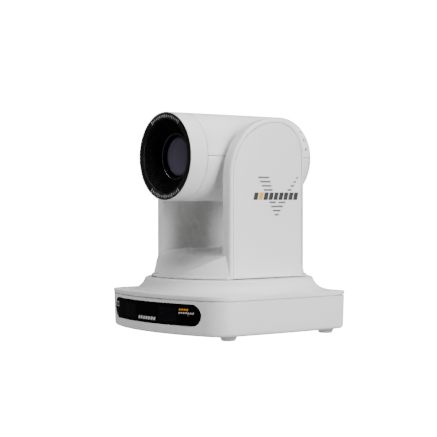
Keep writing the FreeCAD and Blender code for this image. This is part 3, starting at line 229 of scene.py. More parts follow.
def smoked_polycarbonate():
    """Polished smoked polycarbonate: nearly black, with a clear even gloss."""
    return surface("smoked_polycarbonate", colours().window, 0.16, 6, 0.004, 0.3, 0.03, IOR=1.58,
                   Specular_IOR_Level=0.16)


def infrared_window():
    """Dyed window that only infra-red passes: dark plum-black, glossy."""
    return surface("infrared_window", "#0E0B10", 0.18, 6, 0.004, 0.3, 0.03, IOR=1.58, Specular_IOR_Level=0.35)


def matt_black_nylon():
    """Glass-filled nylon with a matt anti-glare surface."""
    return surface("matt_black_nylon", colours().black, 0.55, 0.6, 0.03, 0.2, 0.08, IOR=1.53)


def anti_glare_paint():
    """Flocked black paint inside the hood: it gives back almost nothing."""
    return surface("anti_glare_paint", "#0A0A0A", 0.8, 0.5, 0.05, 0.3, 0.05, Specular_IOR_Level=0.25)


def polished_aluminium():
    """Turned and polished aluminium ring: bright, with fine turning lines."""
    return surface("polished_aluminium", "#D4D4D8", 0.32, 0.5, 0.01, 0.06, 0.05, Metallic=1.0)


def turned_aluminium():
    """Turned aluminium pulleys: silver grey with a soft streaky shine."""
    return surface("turned_aluminium", "#B9BABD", 0.35, 0.5, 0.02, 0.08, 0.08, Metallic=1.0)


def zinc_plated_steel():
    """Bright zinc plate over sheet steel: cool grey, faintly cloudy."""
    return surface("zinc_plated_steel", "#A9ACAF", 0.38, 0.8, 0.02, 0.12, 0.1, Metallic=1.0)


def nickel_plate():
    """Nickel-plated socket shells: warm bright metal."""
    return surface("nickel_plate", "#BEBCB6", 0.28, 0.7, 0.01, 0.08, 0.06, Metallic=1.0)


def turned_brass():
    """Turned brass inserts and pins: warm yellow metal."""
    return surface("turned_brass", "#B8924A", 0.3, 0.5, 0.015, 0.1, 0.08, Metallic=1.0)


def gold_contact():
    """Flash gold on spring contacts."""
    return surface("gold_contact", "#D8AE55", 0.25, 0.5, 0.005, 0.05, 0.05, Metallic=1.0)


def black_socket_nylon():
    """Black nylon socket bodies: even, half matt."""
    return surface("black_socket_nylon", "#121212", 0.5, 0.5, 0.02, 0.2, 0.08)


def pale_rubber():
    """Pale grey moulded rubber feet: soft and quite matt."""
    return surface("pale_rubber", "#BDBDBC", 0.75, 0.5, 0.05, 0.08, 0.08, Specular_IOR_Level=0.3)


def black_rubber():
    """Black moulded rubber: dead matt, a little cloudy."""
    return surface("black_rubber", "#1A1A1A", 0.8, 0.5, 0.05, 0.15, 0.08)


def solder_mask():
    """Green solder mask over copper: glossy, with the colour drifting over the tracks."""
    return surface("solder_mask", "#1E5A38", 0.35, 2.5, 0.02, 0.35, 0.08)


def black_motor_coat():
    """Baked black coat on the motors: a dull shine."""
    return surface("black_motor_coat", "#202124", 0.4, 0.6, 0.03, 0.2, 0.08)


def amber_light_pipe():
    """Moulded light pipe, unlit: deep amber."""
    return surface("amber_light_pipe", "#5A2B12", 0.2, 1.0, 0.005, 0.1, 0.04)


def printed_dark():
    """Pad-printed graphite ink: near black and half matt."""
    return surface("printed_dark", colours().dash, 0.5, 0.4, 0.01, 0.1, 0.06)


def printed_amber():
    """Amber ink of the one bright dash: warm and slightly glossy."""
    return surface("printed_amber", colours().accent, 0.45, 0.4, 0.01, 0.06, 0.06)


def printed_white():
    """White ink on the smoked strip: slightly greyed by the window."""
    return surface("printed_white", "#C9C9C9", 0.55, 0.4, 0.01, 0.15, 0.06)


def printed_grey():
    """Faded grey ink of the scale on the lens ring."""
    return surface("printed_grey", "#C4C4C4", 0.6, 0.4, 0.01, 0.2, 0.06)


def painted_slot_shade():
    """Grey sheet behind the cooling slots: painted shade that makes the slot bottoms darker than the shell.
    """
    return surface("painted_slot_shade", "#77777A", 0.9, 0.5, 0.15, 0.3, 0.05, Specular_IOR_Level=0.1)


def coated_glass_painted_reflection():
    """Coated front element: black towards the edge, with a painted reflection of the coating as a mauve-grey
    patch in the middle, very glossy.
    """
    material, shader = new_material("coated_glass_painted_reflection")
    if shader is None:
        return material
    link = material.node_tree.links.new
    centre = (low("front_glass") + high("front_glass")) / 2 * MM
    place = add_node(material, "ShaderNodeTexCoord").outputs["Object"]
    move = add_node(material, "ShaderNodeMapping", [("Vector", place)])
    move.inputs["Location"].default_value = (-centre.x, 0, -centre.z)
    move.inputs["Scale"].default_value = (1, 0, 1)
    radius = add_node(material, "ShaderNodeVectorMath", [(0, move.outputs["Vector"])], operation="LENGTH")
    # Mask of the painted reflection: full in the middle of the glass, fading out between 13 and 16 mm from
    # the axis.
    painted_reflection_mask = add_node(material, "ShaderNodeMapRange", [("Value", radius.outputs["Value"])],
                     interpolation_type="SMOOTHSTEP")
    painted_reflection_mask.inputs["From Min"].default_value = 13 * MM
    painted_reflection_mask.inputs["From Max"].default_value = 16 * MM
    drift = add_node(material, "ShaderNodeTexNoise", [("Vector", place)], Scale=1 / (14 * MM), Detail=1.0)
    # The two mauve-greys of the painted reflection, drifting a little over the glass.
    tint = add_node(material, "ShaderNodeMix", data_type="RGBA")
    link(tint.inputs[0], drift.outputs["Fac"])
    tint.inputs[6].default_value = linear(colours().glass)
    tint.inputs[7].default_value = linear("#534F5E")
    # Outside the mask the glass keeps its own near-black; inside it the painted reflection shows.
    rim = add_node(material, "ShaderNodeMix", data_type="RGBA")
    link(rim.inputs[0], painted_reflection_mask.outputs["Result"])
    link(rim.inputs[6], tint.outputs[2])
    rim.inputs[7].default_value = linear("#08080A")
    link(shader.inputs["Base Color"], rim.outputs[2])
    shader.inputs["Roughness"].default_value = 0.06
    shader.inputs["IOR"].default_value = 1.6
    shader.inputs["Coat Weight"].default_value = 0.6
    shader.inputs["Coat Roughness"].default_value = 0.02
    return material


# ----------------------------------------------------------------------------------- mesh helpers

def spin_point(bm, vert, centre, degrees, steps):
    """Draws an arc from the vertex about a centre in its plane; gives back the vertex at its end."""
    spun = bmesh.ops.spin(bm, geom=[vert], cent=(centre[0], centre[1], vert.co.z), axis=(0, 0, 1),
                          angle=math.radians(degrees), steps=max(2, steps), use_merge=False)
    return [item for item in spun["geom_last"] if isinstance(item, bmesh.types.BMVert)][0]


def draw_to(bm, vert, x, y):
    """Draws a straight edge from the vertex."""
    grown = bmesh.ops.extrude_vert_indiv(bm, verts=[vert])["verts"][0]
    grown.co = (x, y, vert.co.z)
    return grown


def angle_of(point, centre):
    """Direction of the point seen from the centre, in degrees."""
    return math.degrees(math.atan2(point[1] - centre[1], point[0] - centre[0]))


def arc_steps(degrees):
    """How many straight steps an arc is drawn with."""
    return max(2, math.ceil(abs(degrees) / sizes().arc_step))


def merge_close(bm, distance=0.001):
    """Joins corners that lie on each other."""
    bmesh.ops.remove_doubles(bm, verts=bm.verts, dist=distance)


def round_sharp(bm, width, segments=3, angle=35, where=lambda edge: True):
    """Rounds every edge sharper than the angle, where the test allows it."""
    bm.normal_update()
    sharp = [e for e in bm.edges if len(e.link_faces) == 2 and e.calc_face_angle(0) > math.radians(angle)
             and where(e)]
    bmesh.ops.bevel(bm, geom=sharp, offset=width, offset_type="OFFSET", segments=segments, profile=0.5,
                    affect="EDGES", clamp_overlap=True, material=-1)


def stand(bm, plane):
    """Turns a shape drawn in XY with depth along Z: YZ draws in (Y, Z) along X, XZ in (X, Z) along Y."""
    turn = {"YZ": Matrix(((0, 0, 1), (1, 0, 0), (0, 1, 0))), "XZ": Matrix(((1, 0, 0), (0, 0, 1), (0, 1, 0)))}
    bmesh.ops.transform(bm, matrix=turn[plane].to_4x4(), verts=bm.verts)
    bmesh.ops.recalc_face_normals(bm, faces=bm.faces)


def thicken(bm, face, height):
    """Extrudes a flat face into a solid of the given height along Z."""
    grown = bmesh.ops.extrude_face_region(bm, geom=[face], use_keep_orig=True)["geom"]
    lifted = [item for item in grown if isinstance(item, bmesh.types.BMVert)]
    bmesh.ops.translate(bm, vec=(0, 0, height), verts=lifted)


def closed_shell(draw_ring, rings):
    """A closed solid through rings: the first is extruded to each next one and the ends are filled."""
    bm = draw_ring(*rings[0])
    verts, edges = list(bm.verts), list(bm.edges)
    first = list(edges)
    for ring in rings[1:]:
        plan = draw_ring(*ring)
        places = [v.co.copy() for v in plan.verts]
        plan.free()
        number = {v: i for i, v in enumerate(verts)}
        grown = bmesh.ops.extrude_edge_only(bm, edges=edges)["geom"]
        edges = [item for item in grown if isinstance(item, bmesh.types.BMEdge) and item.is_boundary]
        verts = list(verts)
        for vert in [item for item in grown if isinstance(item, bmesh.types.BMVert)]:
            below = [number[e.other_vert(vert)] for e in vert.link_edges if e.other_vert(vert) in number][0]
            vert.co = places[below]
            verts[below] = vert
    for end in (first, edges):
        bmesh.ops.contextual_create(bm, geom=end)
    bmesh.ops.recalc_face_normals(bm, faces=bm.faces)
    return bm


def turn_about(bm, degrees, about):
    """Turns a shape round the X, Y or Z axis."""
    matrix = Matrix.Rotation(math.radians(degrees), 3, about)
    bmesh.ops.rotate(bm, verts=bm.verts, cent=(0, 0, 0), matrix=matrix)


def turned(profile, centre=(0, 0, 0), axis="z", degrees=360.0, start=0.0):
    """A turned solid in millimetres: the closed profile of (radius, height) points spun about the axis."""
    bm = bmesh.new()
    verts = [bm.verts.new((r, 0, z)) for r, z in profile]
    edges = [bm.edges.new((a, b)) for a, b in zip(verts, verts[1:] + verts[:1])]
    if start:
        turn_about(bm, start, "Z")
    full = abs(degrees) >= 360
    bmesh.ops.spin(bm, geom=verts + edges, cent=(0, 0, 0), axis=(0, 0, 1), angle=math.radians(degrees),
                   steps=arc_steps(degrees), use_merge=full)
    merge_close(bm)
    if not full:
        bmesh.ops.holes_fill(bm, edges=[e for e in bm.edges if len(e.link_faces) == 1], sides=0)
    bmesh.ops.recalc_face_normals(bm, faces=bm.faces)
    if axis != "z":
        quarter_turn, about = (-90, "X") if axis == "y" else (90, "Y")
        turn_about(bm, quarter_turn, about)
    bmesh.ops.translate(bm, verts=bm.verts, vec=centre)
    return bm


def rod(radius, start, end, centre=(0, 0, 0), axis="z"):
    """A plain round rod or the drill for a round hole."""
    return turned([(0, start), (radius, start), (radius, end), (0, end)], centre, axis)


def block(x0, x1, y0, y1, z0, z1):
    """A box between two places on each axis."""
    bm = bmesh.new()
    bmesh.ops.create_cube(bm, size=1)
    bmesh.ops.scale(bm, vec=(x1 - x0, y1 - y0, z1 - z0), verts=bm.verts)
    bmesh.ops.translate(bm, vec=((x0 + x1) / 2, (y0 + y1) / 2, (z0 + z1) / 2), verts=bm.verts)
    return bm


def prism(corners, depth0, depth1, plane):
    """A straight-sided prism of an outline in the plane, from depth0 to depth1 across it."""
    bm = bmesh.new()
    face = bm.faces.new([bm.verts.new((x, y, depth0)) for x, y in corners])
    thicken(bm, face, depth1 - depth0)
    if plane == "XY":
        bmesh.ops.recalc_face_normals(bm, faces=bm.faces)
    else:
        stand(bm, plane)
    return bm


def join_meshes(*parts):
    """Several shapes as one mesh of separate solids."""
    joined = bmesh.new()
    for part in parts:
        mesh = bpy.data.meshes.new("part")
        part.to_mesh(mesh)
        part.free()
        joined.from_mesh(mesh)
        bpy.data.meshes.remove(mesh)
    return joined


def to_object(bm, name):
    """Puts the shape in the scene as an object."""
    mesh = bpy.data.meshes.new(name)
    bm.to_mesh(mesh)
    bm.free()
    obj = bpy.data.objects.new(name, mesh)
    bpy.context.scene.collection.objects.link(obj)
    return obj


def combine(bm, *steps):
    """Booleans one after the other; each step is (operation, shape)."""
    obj = to_object(bm, "work")
    for operation, other in steps:
        tool = to_object(other, "tool")
        modifier = obj.modifiers.new("cut", "BOOLEAN")
        modifier.operation = operation
        modifier.solver = "EXACT"
        modifier.object = tool
        evaluated = obj.evaluated_get(bpy.context.evaluated_depsgraph_get())
        mesh = bpy.data.meshes.new_from_object(evaluated)
        obj.modifiers.clear()
        old = obj.data
        obj.data = mesh
        bpy.data.meshes.remove(old)
        tool_mesh = tool.data
        bpy.data.objects.remove(tool)
        bpy.data.meshes.remove(tool_mesh)
    result = bmesh.new()
    result.from_mesh(obj.data)
    mesh = obj.data
    bpy.data.objects.remove(obj)
    bpy.data.meshes.remove(mesh)
    merge_close(result, 0.002)
    return result


def finish_piece(bm, name, body, material, slot, *nodes, smooth=32):
    """Makes the shape an object of the scene that rides on a body and stands for CAD nodes."""
    bmesh.ops.scale(bm, vec=(MM, MM, MM), verts=bm.verts)
    obj = to_object(bm, name)
    obj.data.materials.append(material)
    obj.data.polygons.foreach_set("use_smooth", [True] * len(obj.data.polygons))
    obj.data.set_sharp_from_angle(angle=math.radians(smooth))
    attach(obj, body)
    if nodes:
        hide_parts(*nodes)
    return obj


def dress(node, material):
    """Gives a CAD node its finish."""
    mesh = frame["nodes"][node].data
    mesh.materials.clear()
    mesh.materials.append(material)


# ----------------------------------------------------------------------------------- base housing

def base_outline():
    """Centres and turns of the arcs round the right half of the base, from the middle of the front."""
    own = sizes()
    half, front, rear = high("base_tub").x, -low("base_tub").y, high("base_tub").y
    bow_centre = (0.0, own.front_bow - front)
    side_centre = (half - own.side_bow, 0.0)
    to_bow, to_side = own.front_bow - own.front_corner, own.side_bow - own.front_corner
    between = math.hypot(bow_centre[0] - side_centre[0], bow_centre[1] - side_centre[1])
    along = (to_side ** 2 - to_bow ** 2 + between ** 2) / (2 * between)
    off = math.sqrt(to_side ** 2 - along ** 2)
    heading = math.radians(angle_of(bow_centre, side_centre))
    corner = (side_centre[0] + along * math.cos(heading) + off * math.sin(heading),
              side_centre[1] + along * math.sin(heading) - off * math.cos(heading))
    rear_y = rear - own.rear_corner
    rear_x = side_centre[0] + math.sqrt((own.side_bow - own.rear_corner) ** 2 - rear_y ** 2)
    front_turn = angle_of(corner, bow_centre) + 90
    corner_turn = angle_of(corner, side_centre) - angle_of(corner, bow_centre)
    side_turn = angle_of((rear_x, rear_y), side_centre) - angle_of(corner, side_centre)
    rear_turn = 90 - angle_of((rear_x, rear_y), side_centre)
    arcs = [(bow_centre, front_turn, 20), (corner, corner_turn, 12), (side_centre, side_turn, 10),
            ((rear_x, rear_y), rear_turn, 6)]
    return front, arcs


def base_ring(inset, z):
    """The outline of the base moved in by the inset, as one closed loop."""
    bm = bmesh.new()
    front, arcs = base_outline()
    last = bm.verts.new((0, -front + inset, z))
    for centre, turn, steps in arcs:
        last = spin_point(bm, last, centre, turn, steps)
    draw_to(bm, last, 0, last.co.y)
    bmesh.ops.mirror(bm, geom=bm.verts[:] + bm.edges[:], axis="X", matrix=Matrix.Identity(4),
                     merge_dist=0.001)
    merge_close(bm)
    return bm


def base_block(rings):
    """A solid through base outlines given as (inset, height)."""
    return closed_shell(base_ring, rings)


def quarter(radius, count=5):
    """Points of a quarter round as (in, up), from the side to the flat."""
    return [(radius * (1 - math.cos(math.radians(a))), radius * math.sin(math.radians(a)))
            for a in [90 * n / count for n in range(count + 1)]]


def lean(z):
    """How far the drafted tub wall has moved in at a height."""
    return (high("base_tub").z - z) * math.tan(math.radians(sizes().draft))


def stadium(half, z0, z1, y0, y1):
    """A bar with round ends along Y."""
    bm = bmesh.new()
    radius, axis_z = (z1 - z0) / 2, (z0 + z1) / 2
    vert = bm.verts.new((half - radius, z0, y0))
    vert = spin_point(bm, vert, (half - radius, axis_z), 180, 24)
    vert = draw_to(bm, vert, radius - half, z1)
    spin_point(bm, vert, (radius - half, axis_z), 180, 24)
    merge_close(bm)
    ends = [v for v in bm.verts if len(v.link_edges) == 1]
    if len(ends) == 2:
        bm.edges.new(ends)
    face = bmesh.ops.contextual_create(bm, geom=bm.edges[:])["faces"][0]
    thicken(bm, face, y1 - y0)
    stand(bm, "XZ")
    return bm


class UNIT_OT_base(bpy.types.Operator):
    """Build the tub and the top cover of the base"""
    bl_idname = "unit.base"
    bl_label = "Base housing"

    def execute(self, context):
        own = sizes()
        top, floor, gap = high("base_tub").z, 3.6, 0.15
        plate_lap, plate_border = 1.5, 7
        strip_low, strip_high = low("front_window_strip"), high("front_window_strip")
        rounding = quarter(own.bottom_round)
        rings = [(lean(own.bottom_round - up) + own.bottom_round - inward, own.bottom_round - up)
                 for up, inward in [(r[1], own.bottom_round - r[0]) for r in reversed(rounding)]]
        rings += [(0.25, top - 0.25), (0.55, top), (own.wall - 0.3, top), (own.wall, top - 0.3),
                  (own.wall + lean(floor), floor)]
        panel_low, panel_high = low("connector_plate"), high("connector_plate")
        hole = block(panel_low.x + plate_lap, panel_high.x - plate_lap, panel_low.y, panel_high.y + 20,
                     panel_low.z + plate_lap, panel_high.z - plate_lap)
        round_sharp(hole, 1.2, 3, where=lambda e: abs(e.verts[0].co.y - e.verts[1].co.y) > 1)
        plate_low, plate_high = low("bottom_plate"), high("bottom_plate")
        seat = block(plate_low.x - gap, plate_high.x + gap, plate_low.y - gap, plate_high.y + gap, -1,
                     plate_high.z)
        opening = block(plate_low.x + plate_border, plate_high.x - plate_border,
                        plate_low.y + plate_border, plate_high.y - plate_border, -1, floor + 1)
        strip = stadium(strip_high.x + 0.25, strip_low.z - 0.25, strip_high.z + 0.25, strip_low.y - 8,
                        strip_high.y + 4)
        tub = combine(base_block(rings), ("DIFFERENCE", strip), ("DIFFERENCE", hole), ("DIFFERENCE", seat),
                      ("DIFFERENCE", opening))
        finish_piece(tub, "tub", "base", moulded_white_abs(), "white_shell", "base_tub")

        rim_low, deck, neck = top + 0.6, 30.0, high("base_top_cover").z
        rim_wall = 3.9
        centre = (own.flare_foot, deck + own.flare)
        reach = own.flare_foot + 40

        def under_flare(down):
            """Profile of the space under the deck and neck, lowered by a wall."""
            radius = own.flare + down
            lip = centre[0] - math.sqrt(radius ** 2 - (centre[1] - neck + down) ** 2)
            first, count = angle_of((lip, neck - down), centre) % 360, 14
            curve = [(centre[0] + radius * math.cos(math.radians(first + (270 - first) * n / count)),
                      centre[1] + radius * math.sin(math.radians(first + (270 - first) * n / count)))
                     for n in range(count + 1)]
            return [(0, 10), (reach, 10), (reach, deck - down)] + curve[::-1] + [(0, neck - down)]

        bore = high("pan_bearing").x
        cover = combine(base_block([(0, rim_low), (0, neck + 5)]), ("INTERSECT", turned(under_flare(0))))
        round_sharp(cover, 1.8, 5, 30, lambda e: e.verts[0].co.z > neck - 1)
        round_sharp(cover, 1.1, 4, 30, lambda e: abs(e.verts[0].co.z - deck) < 0.1)
        inside = combine(base_block([(rim_wall, 10), (rim_wall, neck + 5)]),
                         ("INTERSECT", turned(under_flare(own.wall))))
        cover = combine(cover, ("DIFFERENCE", inside), ("DIFFERENCE", rod(bore, 0, 60)))
        lip = combine(base_block([(own.wall + 0.3, top - 3), (own.wall + 0.3, rim_low + 0.2)]),
                      ("DIFFERENCE", base_block([(rim_wall, top - 4), (rim_wall, rim_low + 1)])))
        boss_low, boss_high = low("pan_bearing").z, neck - 0.5
        boss = turned([(bore, boss_low), (bore + own.wall, boss_low), (bore + own.wall, boss_high),
                       (bore, boss_high)])
        finish_piece(join_meshes(cover, lip, boss), "top_cover", "base", moulded_white_abs(), "white_shell",
                     "base_top_cover")
        return {"FINISHED"}


class UNIT_OT_strip(bpy.types.Operator):
    """Build the smoked front strip with its receiver windows, light and printed dashes"""
    bl_idname = "unit.strip"
    bl_label = "Front strip"

    def execute(self, context):
        strip_low, strip_high = low("front_window_strip"), high("front_window_strip")
        window_low, window_high = low("ir_receiver_windows"), high("ir_receiver_windows")
        y0, y1 = strip_low.y - 8, strip_high.y + 4
        face, back, ink_face, ink_back = 0.3, 2.3, 0.27, 0.5

        def skin(outer, inner):
            """A slice of the tub wall between two insets."""
            wall = base_block([(outer + lean(4), 4), (outer + lean(25), 25)])
            return combine(wall, ("DIFFERENCE", base_block([(inner + lean(3), 3), (inner + lean(26), 26)])))

        slab = combine(skin(face, back),
                       ("INTERSECT", stadium(strip_high.x, strip_low.z, strip_high.z, y0, y1)))
        light_x, _, light_z = middle("status_light")
        light = light_x, y0, light_z
        light_radius = (high("status_light").x - low("status_light").x) / 2
        slab = combine(slab, ("DIFFERENCE", rod(light_radius + 0.15, 0, 30, light, "y")))
        round_sharp(slab, 0.3, 2, 50, lambda e: e.verts[0].co.y < -50)
        near, gap = 15.0, 0.08
        recess, windows = [], []
        for sign in (1, -1):
            x0, x1 = sorted((sign * near, sign * window_high.x))
            windows.append(block(x0, x1, y0, -60, window_low.z, window_high.z))
            recess.append(block(x0 - gap, x1 + gap, y0, -60, window_low.z - gap, window_high.z + gap))
        pocket = combine(skin(-2, 1.4), ("INTERSECT", join_meshes(*recess)))
        slab = combine(slab, ("DIFFERENCE", pocket))
        finish_piece(slab, "smoked_strip", "base", smoked_polycarbonate(), "smoked_window",
                     "front_window_strip")
        panes = combine(skin(0.32, 1.35), ("INTERSECT", join_meshes(*windows)))
        finish_piece(panes, "receiver_panes", "base", infrared_window(), "receiver_window",
                     "ir_receiver_windows")
        pipe = combine(skin(face, back), ("INTERSECT", rod(light_radius, 0, 30, light, "y")))
        finish_piece(pipe, "light_dot", "base", amber_light_pipe(), "light_pipe", "status_light")

        def dashes(name, material, x, z, count, wide, tall, pitch):
            """A row of slanted dashes printed on the strip."""
            lean_over = tall * 0.28
            row = [prism([(x + pitch * n, z), (x + pitch * n + wide, z),
                          (x + pitch * n + wide + lean_over, z + tall),
                          (x + pitch * n + lean_over, z + tall)],
                         y0, -60, "XZ") for n in range(count)]
            ink = combine(skin(ink_face, ink_back), ("INTERSECT", join_meshes(*row)))
            finish_piece(ink, name, "base", material, "smoked_window")

        dashes("strip_dashes_low", printed_white(), -11.5, 10.0, 7, 2.4, 2.4, 3.3)
        dashes("strip_dashes_right", printed_white(), 36.0, 16.6, 7, 1.3, 1.2, 2.1)
        dashes("strip_dashes_amber", printed_amber(), 36.4, 19.0, 4, 1.5, 1.4, 2.3)
        left = strip_low.x + 3.2
        sign = combine(block(left, left + 4.6, y0, y1, 16.4, 20.5),
                       ("DIFFERENCE", block(left + 0.6, left + 4, y0 - 1, y1 + 1, 16.9, 20.0)))
        finish_piece(combine(skin(ink_face, ink_back), ("INTERSECT", sign)), "strip_frame_mark", "base",
                     printed_white(), "smoked_window")
        return {"FINISHED"}


class UNIT_OT_feet(bpy.types.Operator):
    """Build the four rubber feet and the screws of the bottom plate"""
    bl_idname = "unit.feet"
    bl_label = "Feet and screws"

    def execute(self, context):
        corner_low, corner_high = low("rubber_feet"), high("rubber_feet")
        top_radius, bottom_radius, drop = 7.0, 5.2, corner_low.z
        feet = []
        for x in (corner_low.x + top_radius, corner_high.x - top_radius):
            for y in (corner_low.y + top_radius, corner_high.y - top_radius):
                foot = turned([(0, drop + 0.4), (2.6, drop + 0.4), (3.0, drop), (bottom_radius, drop),
                               (top_radius, 0), (0, 0)], (x, y, 0))
                round_sharp(foot, 0.7, 3, 35, lambda e: e.verts[0].co.z < -0.1
                            and e.verts[0].co.xy.length > 0 and abs(e.verts[0].co.z - drop) < 0.01)
                feet.append(foot)
        finish_piece(join_meshes(*feet), "feet", "base", pale_rubber(), "rubber", "rubber_feet")
        plate_low, plate_high = low("bottom_plate"), high("bottom_plate")
        screws = []
        head, shank, from_edge, long, slim = 2.7, 1.5, 3.5, 1.4, 0.28
        for x in (plate_low.x + from_edge, plate_high.x - from_edge):
            for y in (plate_low.y + from_edge, plate_high.y - from_edge):
                screw = turned([(0, 0.2), (head - 0.3, 0.2), (head, 0.5), (head, 1.0), (shank, 1.0),
                                (shank, 3.6), (0, 3.6)], (x, y, 0))
                cross = join_meshes(block(x - long, x + long, y - slim, y + slim, -1, 0.75),
                                    block(x - slim, x + slim, y - long, y + long, -1, 0.75))
                screws.append(combine(screw, ("DIFFERENCE", cross)))
        finish_piece(join_meshes(*screws), "plate_screws", "base", zinc_plated_steel(), "plated_steel",
                     "bottom_plate_screws")
        return {"FINISHED"}


# ------------------------------------------------------------------------------------------- yoke

def saddle_solid(down, half):
    """Everything under the saddle, lowered by a wall: the curve at the front and the flat behind it."""
    radius, back, sunk, top = 67 - down, -10.6, -3.0, high("turntable_shell").z - down
    floor, behind = 20, 100
    bm = bmesh.new()
    meet = back - math.sqrt(radius ** 2 - (top - sunk) ** 2)
    start = back - math.sqrt(radius ** 2 - (floor - sunk) ** 2)
    first = bm.verts.new((start, floor, -half))
    turn = angle_of((meet, top), (back, sunk)) - angle_of((start, floor), (back, sunk))
    last = spin_point(bm, first, (back, sunk), turn, 22)
    last = draw_to(bm, last, behind, top)
    last = draw_to(bm, last, behind, floor)
    bm.edges.new((last, first))
    face = bmesh.ops.contextual_create(bm, geom=bm.edges[:])["faces"][0]
    thicken(bm, face, 2 * half)
    stand(bm, "YZ")
    return bm


class UNIT_OT_turntable(bpy.types.Operator):
    """Build the turntable with the sloped saddle between the arms"""
    bl_idname = "unit.turntable"
    bl_label = "Turntable"

    def execute(self, context):
        own = sizes()
        bottom, top = low("turntable_shell").z, high("turntable_shell").z
        inner, outer = low("right_arm_shell").x, high("right_arm_shell").x
        arm_front, arm_rear = low("right_arm_shell").y, high("right_arm_shell").y
        flange, foot, crest, step = 62.3, 60.8, 56.3, 1.6
        slope = (foot - crest) / (top - bottom)
        soft = 0.4
        drum = turned([(0, bottom), (flange - soft, bottom), (flange, bottom + soft),
                       (flange, bottom + step - soft), (flange - soft, bottom + step),
                       (foot - slope * step + 0.5, bottom + step),
                       (foot - slope * (step + 0.5), bottom + step + 0.5), (crest, top), (0, top)])
        shell = combine(drum, ("INTERSECT", saddle_solid(0, 100)),
                        ("INTERSECT", block(-outer, outer, -100, 100, 0, 200)))
        round_sharp(shell, 0.8, 3, 25, lambda e: min(v.co.z for v in e.verts) > bottom + step + 0.5
                    and max(abs(v.co.x) for v in e.verts) < outer - 0.01)
        hollow = combine(turned([(0, bottom + own.wall), (foot - own.wall, bottom + own.wall),
                                 (crest - own.wall, top - own.wall), (0, top - own.wall)]),
                         ("INTERSECT", saddle_solid(own.wall, 100)),
                         ("INTERSECT", block(own.wall - inner, inner - own.wall, -100, 100, 0, 200)))
        neck_radius, motor_shaft = 15.1, 3
        _, motor_y, motor_z = middle("tilt_motor")
        neck = rod(neck_radius, 0, 50)
        motor = rod(motor_shaft, 30, 60, (0, motor_y, motor_z), "x")
        shell = combine(shell, ("DIFFERENCE", hollow), ("DIFFERENCE", neck), ("DIFFERENCE", motor),
                        ("DIFFERENCE", block(inner, 100, arm_front, arm_rear, 0, 200)),
                        ("DIFFERENCE", block(-100, -inner, arm_front, arm_rear, 0, 200)))
        finish_piece(shell, "turntable", "yoke", moulded_white_abs(), "white_shell", "turntable_shell")
        return {"FINISHED"}


def arm_ring(inset, x, bottom=None):
    """Outline of an arm moved in by the inset, drawn in (Y, Z) at depth x, as one closed loop."""
    own = sizes()
    bm = bmesh.new()
    front, rear = low("right_arm_shell").y + inset, high("right_arm_shell").y - inset
    top, floor = high("right_arm_shell").z - inset, low("right_arm_shell").z if bottom is None else bottom
    front_radius, rear_radius = own.arm_front_radius - inset, own.arm_rear_radius - inset
    first = bm.verts.new((rear, floor, x))
    last = draw_to(bm, first, rear, top - rear_radius)
    last = spin_point(bm, last, (rear - rear_radius, top - rear_radius), 90, 24)
    last = draw_to(bm, last, front + front_radius, top)
    last = spin_point(bm, last, (front + front_radius, top - front_radius), 90, 28)
    last = draw_to(bm, last, front, floor)
    bm.edges.new((last, first))
    return bm


def arm_solid(rings):
    """A solid through arm outlines given as (inset, depth along X)."""
    bm = closed_shell(arm_ring, rings)
    stand(bm, "YZ")
    return bm


def other_side(bm):
    """The same shape on the other side of the middle."""
    bmesh.ops.scale(bm, vec=(-1, 1, 1), verts=bm.verts)
    bmesh.ops.recalc_face_normals(bm, faces=bm.faces)
    return bm


def vent_slots(x0, x1):
    """Cooling slots in the shape of a V with slanted ends; two rows are left out for the dashes."""
    slots = []
    pitch, tall, crest = 3.2, 1.35, 118.5
    for row in (0, 1, 2, 3, 6, 7, 8, 9):
        row_z = crest - pitch * row
        front = (-9.6 + 1.85 * row, 1.9 + 1.17 * row)
        rear = (29.5 - 3.07 * row, 31.5 - 2.2 * row)
        spans = [(*front, 0.85, 0.55), (*rear, -1.4, -1.0)]
        if front[1] + 1 >= rear[0]:
            spans = [(front[0], rear[1], 0.85, -1.0)]
        for y0, y1, lean0, lean1 in spans:
            corners = [(y0 - lean0 / 2, row_z + tall / 2), (y1 - lean1 / 2, row_z + tall / 2),
                       (y1 + lean1 / 2, row_z - tall / 2), (y0 + lean0 / 2, row_z - tall / 2)]
            slots.append(prism(corners, x0, x1, "YZ"))
    return join_meshes(*slots)


